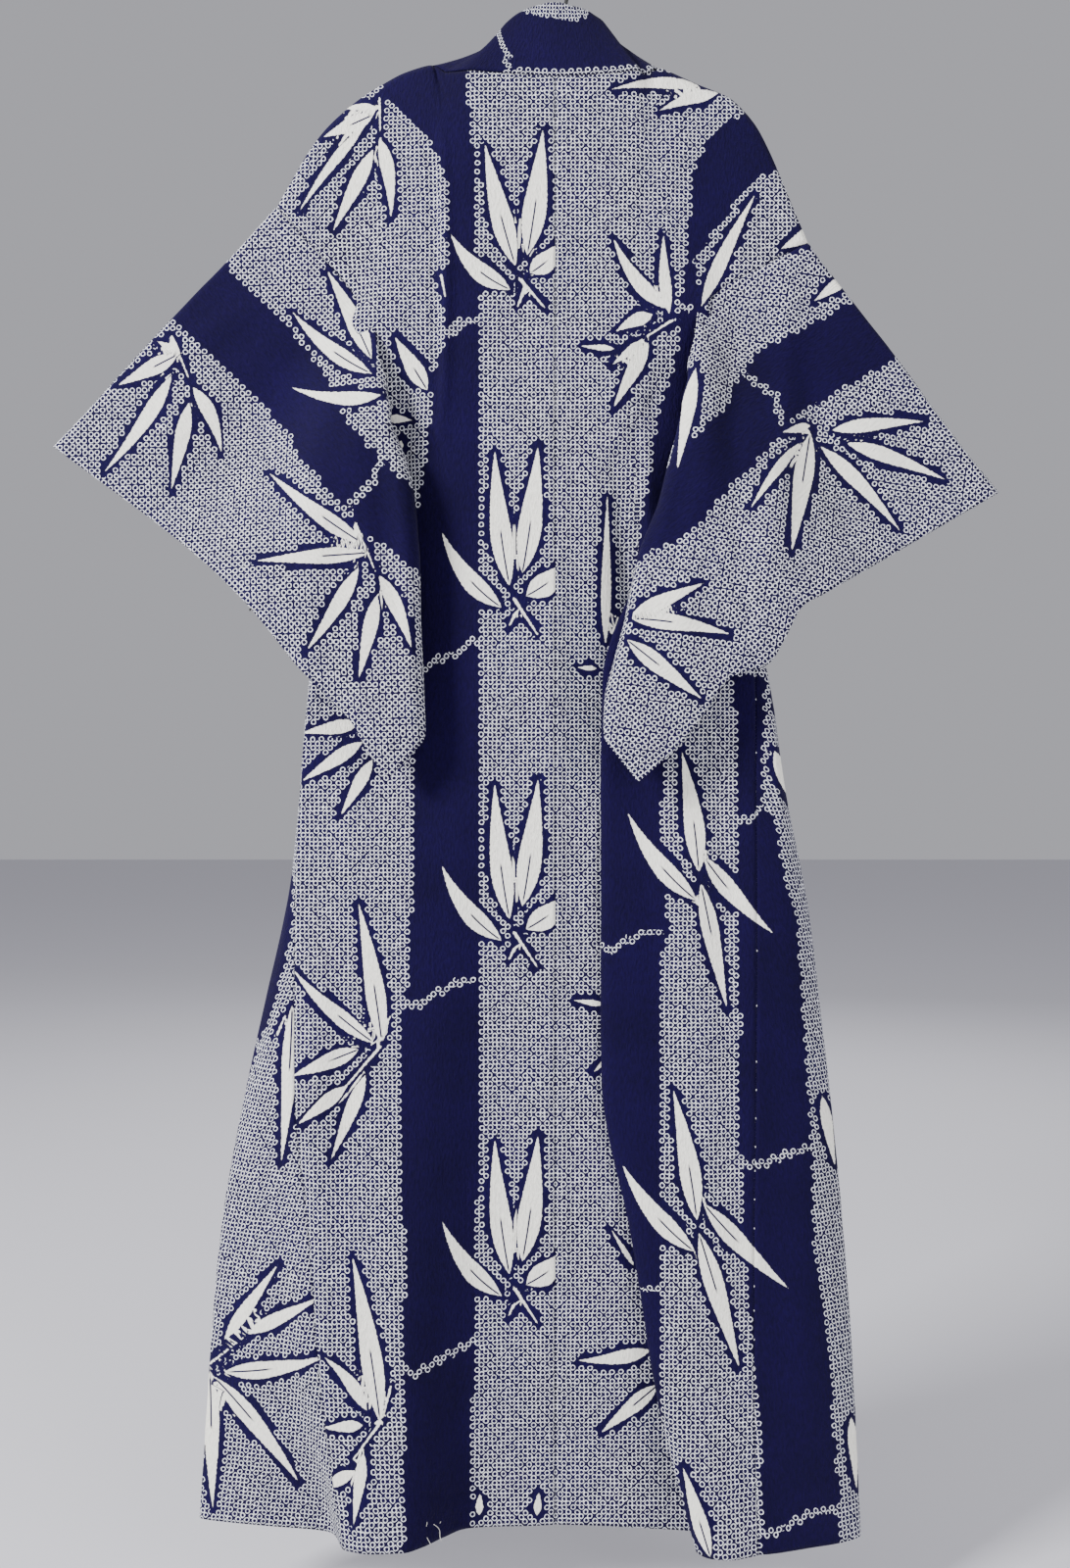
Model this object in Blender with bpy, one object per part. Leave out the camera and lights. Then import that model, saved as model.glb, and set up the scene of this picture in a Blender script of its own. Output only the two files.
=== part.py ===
"""Cotton yukata hung by its shoulders on a plain coat hanger.

The back of the robe faces -Y, its front +Y, the wearer's left is at -X and +Z is up.
The origin is the highest point inside the hanger's hook.  Lengths are in millimetres
until the last step, and "drop" is how far a point lies below the neck seam.
"""
import math

import bmesh
import bpy
import numpy as np

for old in list(bpy.data.objects):
    bpy.data.objects.remove(old, do_unlink=True)

MM = 0.001
CLOTH = 2.0            # thickness of one cloth wall
COLLAR = 2.2           # the collar band is folded double
SEAM = 0.3             # gap that parts two pieces at a seam
NECK_Z = -142.0        # height of the neck seam below the inside of the hook
BACK_Y = -20.0         # plane of the centre back
HEM = 1476.0           # drop of the hem at the centre back
RIDGE = 8.3            # outer radius of the cloth where it goes over the shoulder
BAR_RADIUS = 5.4       # shoulder bar of the hanger
WIRE_RADIUS = 2.0      # hook of the hanger
HOOK_RADIUS = 22.0     # centre line of the hook's bend
SLEEVE_WIDTH = 330.0   # wrist to armhole along the top fold
SLEEVE_DROP = 490.0    # top fold to bottom seam
FOLD_RADIUS = 12.0     # bend where a sleeve's inner part turns behind
FOLD_SHRINK = 0.62     # how far the part behind spreads sideways, it hangs in soft waves
SLEEVE_LIFT = 50.0     # how far the lower sleeve hangs in front of the shoulder line
SEWN_HALF = 2.7        # half the outer thickness where two walls are sewn together
BAND = 55.0            # width of the collar band down the fronts
COLLAR_END = 620.0     # drop of the collar's lower ends
SLIT_END = 400.0       # drop where the slit under the arm ends and the side seam starts


def height(drop):
    return NECK_Z - drop


def pchip(xs, ys, x):
    """A smooth curve through the points of a table that never overshoots them."""
    xs = np.asarray(xs, float)
    ys = np.asarray(ys, float)
    step = np.diff(xs)
    slope = np.diff(ys, axis=0) / step.reshape(-1, *([1] * (ys.ndim - 1)))
    inner = np.zeros_like(ys)
    left, right = slope[:-1], slope[1:]
    same = left * right > 0
    inner[1:-1][same] = 2 * left[same] * right[same] / (left[same] + right[same])
    inner[0], inner[-1] = slope[0], slope[-1]
    x = np.clip(np.asarray(x, float), xs[0], xs[-1])
    i = np.clip(np.searchsorted(xs, x, side="right") - 1, 0, len(xs) - 2)
    t = (x - xs[i]) / step[i]
    extra = [1] * (ys.ndim - 1)
    t = np.reshape(t, (*np.shape(t), *extra))
    h = np.reshape(step[i], np.shape(t))
    return (
        ys[i] * (1 + 2 * t) * (1 - t) ** 2
        + inner[i] * h * t * (1 - t) ** 2
        + ys[i + 1] * t * t * (3 - 2 * t)
        + inner[i + 1] * h * t * t * (t - 1)
    )


def spread(counts):
    """Positions along a table's index, with so many steps in each of its intervals."""
    out = [0.0]
    for i, n in enumerate(counts):
        out += [i + (k + 1) / n for k in range(n)]
    return np.array(out)


def unit(v):
    return v / np.maximum(np.linalg.norm(v, axis=-1, keepdims=True), 1e-9)


def even_tangent(points):
    """The direction of each line of points, the mean of the steps before and after a point."""
    steps = unit(np.diff(points, axis=0))
    return unit(np.concatenate([steps[:1], steps[:-1] + steps[1:], steps[-1:]]))


def grid_normals(points, outward):
    """Unit normals of a grid of points, on the side that outward points to where the grid starts."""
    down = even_tangent(points)
    across = even_tangent(points.swapaxes(0, 1)).swapaxes(0, 1)
    n = unit(np.cross(across, down))
    first = n[n.shape[0] // 2, 0]
    return n if first @ np.array(outward, float) > 0 else -n


def material(name, colour, roughness, metallic=0.0):
    mat = bpy.data.materials.new(name)
    mat.use_nodes = True
    shader = mat.node_tree.nodes["Principled BSDF"]
    shader.inputs["Base Color"].default_value = (*colour, 1.0)
    shader.inputs["Roughness"].default_value = roughness
    shader.inputs["Metallic"].default_value = metallic
    return mat


def add_object(name, mesh, mat):
    obj = bpy.data.objects.new(name, mesh)
    bpy.context.scene.collection.objects.link(obj)
    mesh.materials.append(mat)
    mesh.shade_smooth()
    mesh.set_sharp_from_angle(angle=math.radians(50))
    return obj


def sheet(bm, grid):
    """One face of a wall: Blender's grid with its points put where the table says."""
    rows, columns = grid.shape[:2]
    made = bmesh.ops.create_grid(bm, x_segments=columns - 1, y_segments=rows - 1, size=1.0)
    verts = sorted(made["verts"], key=lambda v: (round(v.co.y, 6), round(v.co.x, 6)))
    for vert, point in zip(verts, grid.reshape(-1, 3)):
        vert.co = point * MM
    return verts


def wall(name, patches, mat):
    """A closed cloth wall from pairs of grids, the outer face and the inner one.

    Patches of one piece share the points where they meet, and are welded there.
    """
    bm = bmesh.new()
    pairs = {}
    for outer, inner in patches:
        front = sheet(bm, outer)
        back = sheet(bm, inner)
        for a, b in zip(front, back):
            pairs[a] = b
    keys = {}
    weld = {}
    for a, b in pairs.items():
        key = tuple(round(c * 1e6) for c in a.co)
        if key in keys:
            weld[a] = keys[key]
            weld[b] = pairs[keys[key]]
        else:
            keys[key] = a
    outer_verts = [a for a in pairs if a not in weld]
    bmesh.ops.weld_verts(bm, targetmap=weld)
    partner = {a: pairs[a] for a in outer_verts}
    rim = [e for e in bm.edges if e.is_boundary and e.verts[0] in partner and e.verts[1] in partner]
    for edge in rim:
        a, b = sorted(edge.verts, key=lambda v: (v.co.z, v.co.x))
        bm.faces.new((a, b, partner[b]))
        bm.faces.new((a, partner[b], partner[a]))
    bmesh.ops.recalc_face_normals(bm, faces=bm.faces)
    if bm.calc_volume(signed=True) < 0:
        bmesh.ops.reverse_faces(bm, faces=bm.faces)
    bmesh.ops.triangulate(bm, faces=bm.faces, quad_method="SHORT_EDGE")
    mesh = bpy.data.meshes.new(name)
    bm.to_mesh(mesh)
    bm.free()
    return add_object(name, mesh, mat)


# Each side's tables.  A sleeve edge gives the way down from the top fold (cloth), then x and
# drop.  The fold line is where the sleeve's inner part turns behind.
SIDES = {
    "left": {
        "sign": -1,
        "wrist": {
            "cloth": (0, 257, 345, 400, 450, 490),
            "x": (-512, -304, -249, -211, -181, -166),
            "drop": (380, 554, 621, 657, 706, 722),
        },
        "armhole": {"cloth": (0, 170, 210, 490), "x": (-288, -184, -176, 53), "drop": (131, 266, 304, 482)},
        "fold": {
            "drop": (240, 266, 327, 375, 406, 455, 494, 611, 693, 730),
            "x": (-187, -184, -174, -163, -157, -146, -142, -139, -130, -126),
        },
    },
    "right": {
        "sign": 1,
        "wrist": {
            "cloth": (0, 248, 296, 345, 390, 443, 490),
            "x": (456, 231, 224, 184, 156, 124, 82),
            "drop": (427, 559, 604, 614, 647, 688, 726),
        },
        "armhole": {"cloth": (0, 140, 180, 490), "x": (262, 145, 138, -116), "drop": (169, 246, 284, 478)},
        "fold": {
            "drop": (220, 246, 304, 396, 433, 505, 579, 647, 712, 740),
            "x": (147, 145, 138, 120, 109, 85, 71, 51, 47, 46),
        },
    },
}


def edge_point(edge, cloth):
    x = pchip(edge["cloth"], edge["x"], cloth)
    drop = pchip(edge["cloth"], edge["drop"], cloth)
    return x, drop


def ease(t):
    t = np.clip(t, 0, 1)
    return t * t * (3 - 2 * t)


def sleeve_lift(side, cloth):
    """How far the middle of the sleeve lies towards the viewer of the back."""
    end = side["armhole"]["cloth"][1]
    return -SLEEVE_LIFT * ease((cloth - end + 60) / 170)


def half_gap(side, across, cloth):
    """Half the outer thickness of the sleeve, which is open at the wrist and the armhole."""
    end = side["armhole"]["cloth"][1]
    mouth = side["wrist"]["cloth"][1]
    near_arm = 3.2 * ease((across - 240) / 90) * ease((end - 15 - cloth) / 60)
    near_wrist = 5.0 * ease((70 - across) / 70) * ease(cloth / 60) * ease((mouth - cloth) / 90)
    sewn = ease((SLEEVE_DROP - cloth) / 40)
    wrist_seam = 1 - (1 - ease(across / 30)) * ease((cloth - mouth + 40) / 40)
    return SEWN_HALF + (2.4 + near_arm + near_wrist) * sewn * wrist_seam


def fold_spot(side, cloth):
    """Where a row of the sleeve meets the fold line, as a share of the way from wrist to furi."""
    wx, wd = edge_point(side["wrist"], cloth)
    fx, fd = edge_point(side["armhole"], cloth)
    low, high = 0.0, 1.0
    for _ in range(40):
        mid = (low + high) / 2
        x = wx + (fx - wx) * mid
        drop = wd + (fd - wd) * mid
        line = pchip(side["fold"]["drop"], side["fold"]["x"], drop)
        if (x - line) * -side["sign"] > -FOLD_RADIUS:
            high = mid
        else:
            low = mid
    return high


def sleeve_middle(side, share, cloth):
    """The sheet halfway between the sleeve's two layers, folded behind at the inner edge."""
    sign = -side["sign"]
    wx, wd = edge_point(side["wrist"], cloth)
    fx, fd = edge_point(side["armhole"], cloth)
    x = wx + (fx - wx) * share
    drop = wd + (fd - wd) * share
    line = pchip(side["fold"]["drop"], side["fold"]["x"], drop)
    past = (x - line) * sign + FOLD_RADIUS
    below = ease((cloth - side["armhole"]["cloth"][1]) / 45)
    turn = np.clip(past / FOLD_RADIUS, 0, math.pi)
    bent = line + sign * (
        -FOLD_RADIUS
        + FOLD_RADIUS * np.sin(turn)
        - FOLD_SHRINK * np.maximum(past - math.pi * FOLD_RADIUS, 0)
    )
    depth = FOLD_RADIUS * (1 - np.cos(turn))
    inside = past > 0
    x = np.where(inside, x + (bent - x) * below, x)
    y = sleeve_lift(side, cloth) + np.where(inside, depth * below, 0)
    return np.stack([x, y, height(drop)], axis=-1)


SLEEVE_COLUMNS = 16
ARC = (0.0, 30.0, 60.0, 90.0)
ARM_SHARES = (0.33, 0.66, 1.0)
SLEEVE_ROWS = (182, 195, 210, 230, 255, 290, 330, 370, 410, 445, 472, 490)


def column_share(side, cloth):
    """Shares of the row at which its columns stand, closer together on the bend."""
    even = np.linspace(0, 1, SLEEVE_COLUMNS + 1)
    spot = fold_spot(side, cloth)
    bend = math.pi * FOLD_RADIUS / SLEEVE_WIDTH
    spot = min(spot, 0.76)
    end = spot + bend
    close = np.interp(np.arange(SLEEVE_COLUMNS + 1), (0, 7, 12, SLEEVE_COLUMNS), (0, spot, end, 1))
    mix = ease((cloth - side["armhole"]["cloth"][1] + 20) / 80)
    return even + (close - even) * mix


def sleeve_fall(side, share):
    """The way the cloth falls from the sleeve's top fold."""
    step = sleeve_middle(side, share, 20.0) - sleeve_middle(side, share, 0.0)
    return unit(step * (1, 0, 1))


def sleeve_layers(side):
    """Rows of the sleeve from its bottom seam up the back, over the top fold and down the front."""
    end = side["armhole"]["cloth"][1]
    stretch = (SLEEVE_DROP - end) / (SLEEVE_DROP - 170)
    levels = [share * end for share in ARM_SHARES]
    levels += [end + (c - 170) * stretch for c in SLEEVE_ROWS]
    middles = np.array([sleeve_middle(side, column_share(side, c), c) for c in levels])
    normals = grid_normals(middles, (0, -1, 0))
    level = np.array(levels)
    across = np.array([column_share(side, c) for c in levels]) * SLEEVE_WIDTH
    normals[level <= end + 1, -1] = (0, -1, 0)
    normals[-1] = unit(normals[-1] * (1, 1, 0))
    gap = half_gap(side, across, level[:, None])[..., None]
    back_out = middles + normals * gap
    back_in = middles + normals * (gap - CLOTH)
    front_out = middles - normals * gap
    front_in = middles - normals * (gap - CLOTH)
    arc_out_back, arc_in_back, arc_out_front, arc_in_front = [], [], [], []
    top = sleeve_middle(side, column_share(side, 0.0), 0.0)
    down = sleeve_fall(side, column_share(side, 0.0))
    toward = np.array((0.0, -1.0, 0.0))
    first = half_gap(side, across[0], level[0])[..., None]
    for degrees in ARC:
        c, s = math.cos(math.radians(degrees)), math.sin(math.radians(degrees))
        out_b = top + down * first * (1 - c)
        in_b = top + down * (first - (first - CLOTH) * c)
        arc_out_back.append(out_b + toward * first * s)
        arc_in_back.append(in_b + toward * (first - CLOTH) * s)
        arc_out_front.append(out_b - toward * first * s)
        arc_in_front.append(in_b - toward * (first - CLOTH) * s)
    outer = np.concatenate([back_out[::-1], arc_out_back[::-1], arc_out_front[1:], front_out])
    inner = np.concatenate([back_in[::-1], arc_in_back[::-1], arc_in_front[1:], front_in])
    return outer, inner


# Rows of the robe's body from the shoulder to the hem.  Each key column holds, row by row,
# x, drop and how near it is to the viewer of the back, measured from the centre back.
LEFT_BACK = {
    "centre": ((0, 5, 0), (0, 60, 0), (0, 140, 0), (0, 225, 0), (0, 348, 0), (0, 478, 0), (0, 618, 0),
               (0, 740, 0), (0, 860, 0), (0, 1028, 0), (0, 1178, 0), (0, 1330, 0), (0, HEM, 0)),
    "stripe_in": ((-84, -1, -1), (-84, 58, 0), (-83, 140, 0), (-82, 226, 0), (-81, 348, 0), (-80, 478, 0),
                  (-79, 618, 0), (-78, 740, 0), (-77, 860, 1), (-77, 1028, 2), (-79, 1178, 3),
                  (-82, 1330, 5), (-86, HEM, 6)),
    "neck": ((-128.5, -15, -20), (-122, 46, -4), (-118, 134, -1), (-113, 228, 0), (-111, 348, -1),
             (-111, 478, -2), (-114, 618, -2), (-114, 740, 1), (-115, 860, 3), (-115, 1028, 7),
             (-113, 1178, 12), (-113, 1330, 18), (-115, HEM, 26)),
    "stripe_out": ((-184, 8, -20), (-168, 58, -6), (-158, 146, -3), (-146, 240, -1), (-141, 348, -6),
                   (-148, 478, -9), (-158, 618, -7), (-157, 740, 0), (-157, 860, 6), (-155, 1028, 13),
                   (-152, 1178, 22), (-150, 1330, 34), (-149, HEM, 52)),
    "mid": ((-240, 54, -20), (-212, 100, -9), (-188, 172, -7), (-165, 252, 0), (-149, 348, -12),
            (-171, 478, -15), (-208, 618, -10), (-212, 740, -3), (-214, 860, 5), (-212, 1028, 14),
            (-203, 1178, 24), (-195, 1330, 36), (-182, HEM, 54)),
}
RIGHT_BACK = {
    "centre": LEFT_BACK["centre"],
    "a": ((45, 3, 0), (44, 60, 0), (42, 140, 0), (40, 225, 0), (38, 348, 0), (40, 478, -2), (43, 618, -10),
          (43, 740, -9), (44, 860, -4), (44, 1028, -2), (60, 1178, 0), (75, 1330, 0), (85, HEM, 0)),
    "valley_1": ((86, -3, -4), (82, 57, -1), (75, 139, 0), (66, 226, 0), (60, 348, -1), (70, 478, -14),
                 (92, 618, -22), (92, 740, -20), (92, 860, -9), (92, 1028, -8), (112, 1178, -5),
                 (132, 1330, -3), (150, HEM, 2)),
    "neck": ((107, -12, -20), (98, 52, -5), (86, 138, -2), (75, 227, 0), (67, 348, -2), (77, 478, -13),
             (100, 618, -18.5), (100, 740, -16.5), (100, 860, -5), (100, 1028, -4), (120, 1178, -1),
             (141, 1330, 1), (161, HEM, 8)),
    "valley_3": ((119, -8, -20), (109, 54, -6), (95, 141, -3), (82, 229, 0), (73, 348, -3), (83, 478, -11.5),
                 (92, 618, -15), (92, 740, -13), (92, 860, -1), (92, 1028, 0), (113, 1178, 3),
                 (135, 1330, 6), (156, HEM, 15)),
    "ridge_1": ((150, 6, -20), (134, 66, -8), (116, 152, -5), (98, 232, 0), (84, 348, -6), (87, 478, -10),
                (62, 618, -15), (60, 740, -13), (58, 860, -1), (59, 1028, 0), (89, 1178, 4),
                (114, 1330, 10), (149, HEM, 24)),
    "ridge_2": ((165, 12, -20), (146, 73, -9), (126, 159, -6), (106, 235, 0), (90, 348, -7), (90, 478, -7),
                (48, 618, -10), (46, 740, -8), (45, 860, 4), (46, 1028, 6), (75, 1178, 12),
                (100, 1330, 20), (138, HEM, 38)),
    "ridge_3": ((180, 19, -20), (158, 82, -10), (136, 168, -7), (114, 238, 0), (93, 348, -8), (97, 478, -3),
                (60, 618, -5), (58, 740, -3), (57, 860, 10), (58, 1028, 13), (88, 1178, 20),
                (113, 1330, 30), (149, HEM, 50)),
    "stripe_out": ((208, 48, -20), (184, 112, -11), (158, 192, -9), (128, 242, 1), (103, 348, -12),
                   (124, 478, -11), (122, 618, -5), (114, 740, -3), (108, 860, 10), (106, 1028, 14),
                   (120, 1178, 22), (137, 1330, 32), (168, HEM, 52)),
}
# The outer edge of the back, which is the armhole down to the arm's end and then the side seam.
LEFT_SIDE = {"x": (-156, -190, -252, -262, -266, -265, -249, -235, -211),
             "near": (-17, -18, -12, -5, 3, 12, 20, 32, 46)}
RIGHT_SIDE = {"x": (114, 152, 206, 206, 205, 203, 200, 199, 201),
              "near": (-17, -17, -10, -6, 5, 12, 18, 26, 40)}
SIDE_DROPS = (348, 478, 618, 740, 860, 1028, 1178, 1330, HEM)

# The front, from the inner edge to the side: x, drop and y.
LEFT_FRONT = {
    "inner": ((-117, 50, 14), (-106, 140, 18), (-105, 228, 20), (-105, 348, 20), (-105, 478, 20),
              (-105, 618, 20), (-105, 740, 20), (-105, 860, 22), (-105, 1028, 22), (-105, 1178, 22),
              (-105, 1330, 24), (-105, HEM, 24)),
    "face": ((-168, 62, 13), (-150, 150, 16), (-138, 240, 15), (-125, 348, 18), (-135, 478, 18),
             (-160, 618, 20), (-170, 740, 22), (-180, 860, 25), (-195, 1028, 29), (-215, 1178, 34),
             (-228, 1330, 38), (-238, HEM, 40)),
    "turn": ((-212, 100, 11), (-188, 175, 12), (-165, 252, 6), (-145, 348, 16), (-178, 478, 15),
             (-245, 618, 15), (-257, 740, 11), (-281, 860, 8), (-318, 1028, 4), (-345, 1178, 0),
             (-358, 1330, -4), (-367, HEM, -6)),
    "step": ((-233, 130, 9), (-205, 197, 9), (-175, 259, -1), (-153, 348, 12), (-189, 478, 9),
             (-255, 618, 4), (-264, 740, -4), (-275, 860, -14), (-290, 1028, -23), (-285, 1178, -26),
             (-262, 1330, -34), (-227, HEM, -34)),
}
RIGHT_FRONT = {
    "inner": ((97, 50, 14), (90, 140, 17), (90, 228, 16), (88, 348, 15), (90, 478, 15), (92, 618, 14),
              (95, 740, 14), (95, 860, 14), (95, 1028, 14), (95, 1178, 16), (95, 1330, 18), (95, HEM, 18)),
    "face": ((140, 66, 13), (112, 152, 14), (104, 234, 11), (98, 348, 14), (112, 478, 16), (145, 618, 18),
             (155, 740, 22), (165, 860, 26), (170, 1028, 30), (180, 1178, 34), (185, 1330, 36),
             (190, HEM, 36)),
    "turn": ((184, 112, 10), (158, 192, 9), (128, 242, 2), (104, 348, 14), (138, 478, 15), (221, 618, 10),
             (240, 740, 8), (262, 860, 4), (282, 1028, 0), (297, 1178, -4), (306, 1330, -10),
             (311, HEM, -22)),
    "step": ((202, 150, 8), (170, 206, 8), (136, 244, -3), (110, 348, 12), (150, 478, 8), (219, 618, -3),
             (228, 740, -12), (236, 860, -16), (243, 1028, -22), (247, 1178, -28), (250, 1330, -38),
             (255, HEM, -46)),
}
BACK_STEPS = {"left": (3, 4, 2, 3, 3), "right": (2, 2, 4, 1, 2, 1, 1, 2, 3)}
NECK_COLUMN = {"left": 7, "right": 8}
# Where the back's neckline starts to climb over the hanger: x, drop and y.
NECK_TURN = {
    "left": ((-114, -4, -10.0), (-120, -9.5, -7.6), (-125, -13, -4.3)),
    "right": ((93, -1, -10.0), (99, -6.5, -7.6), (104, -10.5, -4.3)),
}
FRONT_STEPS = {"left": (3, 2, 2, 1), "right": (3, 3, 2, 2)}
ROW_STEPS = (1, 1, 1, 2, 1, 4, 1, 1, 2, 1, 2, 2)


def armhole_edge(side, layer):
    """Outer points of the armhole at the three levels above the arm's end, and their normals."""
    end = side["armhole"]["cloth"][1]
    points = []
    for share in ARM_SHARES:
        cloth = share * end
        x, drop = edge_point(side["armhole"], cloth)
        y = sleeve_lift(side, cloth) + layer * half_gap(side, SLEEVE_WIDTH, cloth)
        points.append((float(x), float(drop), float(y)))
    return points


def table_grid(table, edge, steps):
    """A smooth grid through key columns and an edge column, row by row."""
    keys = list(table.values()) + [edge]
    cube = np.array(keys, float).transpose(1, 0, 2)
    columns = spread(steps)
    wide = np.array([pchip(range(len(keys)), row, columns) for row in cube])
    return wide


def down_rows(wide, steps):
    rows = spread(steps)
    return pchip(range(len(wide)), wide, rows)


def body_grids(name):
    """Outer points of one body panel: its back, and its front from the same shoulder line."""
    side = SIDES[name]
    table = LEFT_BACK if name == "left" else RIGHT_BACK
    front_table = LEFT_FRONT if name == "left" else RIGHT_FRONT
    seam = LEFT_SIDE if name == "left" else RIGHT_SIDE
    top_x, top_drop = edge_point(side["armhole"], 0.0)
    edge = [(float(top_x), float(top_drop), -20.0)]
    edge += [(x, drop, BACK_Y - y) for x, drop, y in armhole_edge(side, -1)]
    edge += [(x, drop, near) for x, drop, near in zip(seam["x"], SIDE_DROPS, seam["near"])]
    back = table_grid(table, edge, BACK_STEPS[name])
    back[..., 2] = BACK_Y - back[..., 2]
    turn = NECK_COLUMN[name] - len(NECK_TURN[name])
    back[0, turn : NECK_COLUMN[name]] = NECK_TURN[name]
    front_edge = list(armhole_edge(side, 1))
    front_edge += [(seam["x"][0], SIDE_DROPS[0], 6.0)]
    front_edge += [
        (x, drop, BACK_Y - near)
        for x, drop, near in list(zip(seam["x"], SIDE_DROPS, seam["near"]))[1:]
    ]
    front = table_grid(front_table, front_edge, FRONT_STEPS[name])
    neck = NECK_COLUMN[name]
    shoulder = back[0, neck:].copy()
    front = np.concatenate([shoulder[None], front])
    back, front = down_rows(back, ROW_STEPS), down_rows(front, ROW_STEPS)
    sewn = back[:, -1, 1] > SLIT_END
    front[sewn, -1] = back[sewn, -1]
    return back, front


def to_space(grid):
    """From x, drop, y to x, y, z."""
    return np.stack([grid[..., 0], grid[..., 2], height(grid[..., 1])], axis=-1)


def add_ridge(side, grid, start, direction):
    """Put the round of the shoulder between the top row of a grid and its next row.

    Columns from start on go over the shoulder; those before it end at the neck seam.
    """
    top = grid[0]
    along = np.gradient(top[start:], axis=0) * (1, 0, 1)
    down = unit(np.cross(along, (0, 1, 0)))
    down = np.where(down[:, 2:] > 0, -down, down)
    rows_out, rows_in = [], []
    down[-1] = sleeve_fall(side, 1.0)
    radius = RIDGE
    for degrees in ARC:
        c, s = math.cos(math.radians(degrees)), math.sin(math.radians(degrees))
        out = top.copy()
        inn = top.copy()
        out[start:] = top[start:] + down * radius * (1 - c) + np.array((0, direction, 0)) * radius * s
        inn[start:] = (
            top[start:] + down * (radius - (radius - CLOTH) * c)
            + np.array((0, direction, 0)) * (radius - CLOTH) * s
        )
        lower = 0.02 + 0.16 * degrees / 90
        out[:start] = top[:start] + (grid[1, :start] - top[:start]) * lower * (degrees > 0)
        rows_out.append(out)
        rows_in.append(inn)
    return np.array(rows_out), np.array(rows_in)


def body_panel(name):
    """Outer and inner grids of a panel's back and front, with seams parted."""
    side = SIDES[name]
    sign = side["sign"]
    back, front = body_grids(name)
    back, front = to_space(back), to_space(front)
    neck = NECK_COLUMN[name]
    ridge_b_out, ridge_b_in = add_ridge(side, back, neck, -1)
    ridge_f_out, ridge_f_in = add_ridge(side, front, 0, 1)
    back = np.concatenate([ridge_b_out, back[1:]])
    front = np.concatenate([ridge_f_out, front[1:]])
    nb = grid_normals(back, (0, -1, 0))
    nf = grid_normals(front, (0, 1, 0))
    nb[:, 0] = unit(nb[:, 0] * (0, 1, 1))
    arm_rows = len(ARC) + 3
    z_slit = height(SLIT_END)
    for i in range(len(back)):
        if i < arm_rows:
            nb[i, -1] = (0, -1, 0)
            nf[i, -1] = (0, 1, 0)
        elif back[i, -1, 2] < z_slit:
            across = unit((front[i, -2] - back[i, -2]) * (1, 1, 0))
            n = np.array((-across[1], across[0], 0.0))
            n = n if n[0] * sign > 0 else -n
            nb[i, -1] = nf[i, -1] = n
            back[i, -1] -= across * SEAM / 2
            front[i, -1] += across * SEAM / 2
    count = len(ARC)
    nb[:count, neck:] = unit(ridge_b_out - ridge_b_in)[:, neck:]
    nf[:count] = unit(ridge_f_out - ridge_f_in)
    back_in = back - nb * CLOTH
    front_in = front - nf * CLOTH
    back[:, 0, 0] = back_in[:, 0, 0] = sign * SEAM / 2
    shift = side_shift(side)
    for i in range(arm_rows):
        for grid in (back, back_in, front, front_in):
            grid[i, -1] += shift
    back_in[0, neck] = front_in[0, 0]
    return back, back_in, front, front_in, nb, nf


def side_shift(side):
    """The seam's gap at the armhole, from the sleeve towards the body."""
    wx, wd = edge_point(side["wrist"], 0.0)
    fx, fd = edge_point(side["armhole"], 0.0)
    way = unit(np.array((float(fx - wx), 0.0, float(wd - fd))))
    return way * SEAM


COTTON = material("indigo_cotton", (0.10, 0.09, 0.32), 0.9)
COTTON_LIGHT = material("dotted_cotton", (0.42, 0.44, 0.60), 0.9)
NAVY = material("navy_cotton", (0.02, 0.015, 0.09), 0.9)
HANGER = material("black_plastic", (0.02, 0.02, 0.02), 0.5)
STEEL = material("steel_wire", (0.05, 0.05, 0.05), 0.35, 1.0)

# The front overlap: its free edge's x and y below the collar's end.
OVERLAP = {
    "left": {"drop": (0, COLLAR_END, 930, HEM), "x": (40, 40, 32, 8), "y": (27, 29, 30, 32)},
    "right": {"drop": (0, COLLAR_END, 930, HEM), "x": (-40, -40, -38, -44), "y": (12, 11, 12, 13)},
}
# Where the collar's lower end meets the overlap.
COLLAR_FOOT = {"left": -15.0, "right": 15.0}
OVERLAP_TOP = 118.0
OVERLAP_STEPS = 2
# How the collar band spreads from its seam, along the seam from the centre back.
BAND_WAY = {
    "seam": (0, 45, 84, 128, 141, 165, 200, 260, 900),
    "inward": (0, 15, 34, 46, 50, 54, BAND, BAND, BAND),
    "y": (12, 13, 14, 16, 12, 8, 4, 3, 3),
    "up": (82, 73, 57, 24, 14, 4, 0, 0, 0),
}
BAND_STEPS = 4
COLLAR_GAP = 0.5       # the collar turns round the neck, so its seam has a little more room


def overlap_edge(name, drop, neck_x, neck_drop):
    """The free edge of the front overlap, slanted under the collar and upright below it."""
    foot = COLLAR_FOOT[name]
    slant = neck_x + (foot - neck_x) * (drop - neck_drop) / (COLLAR_END - neck_drop)
    free = OVERLAP[name]
    y = float(pchip(free["drop"], free["y"], drop))
    if drop <= COLLAR_END:
        return slant, y
    return float(pchip(free["drop"], free["x"], drop)), y


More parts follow.
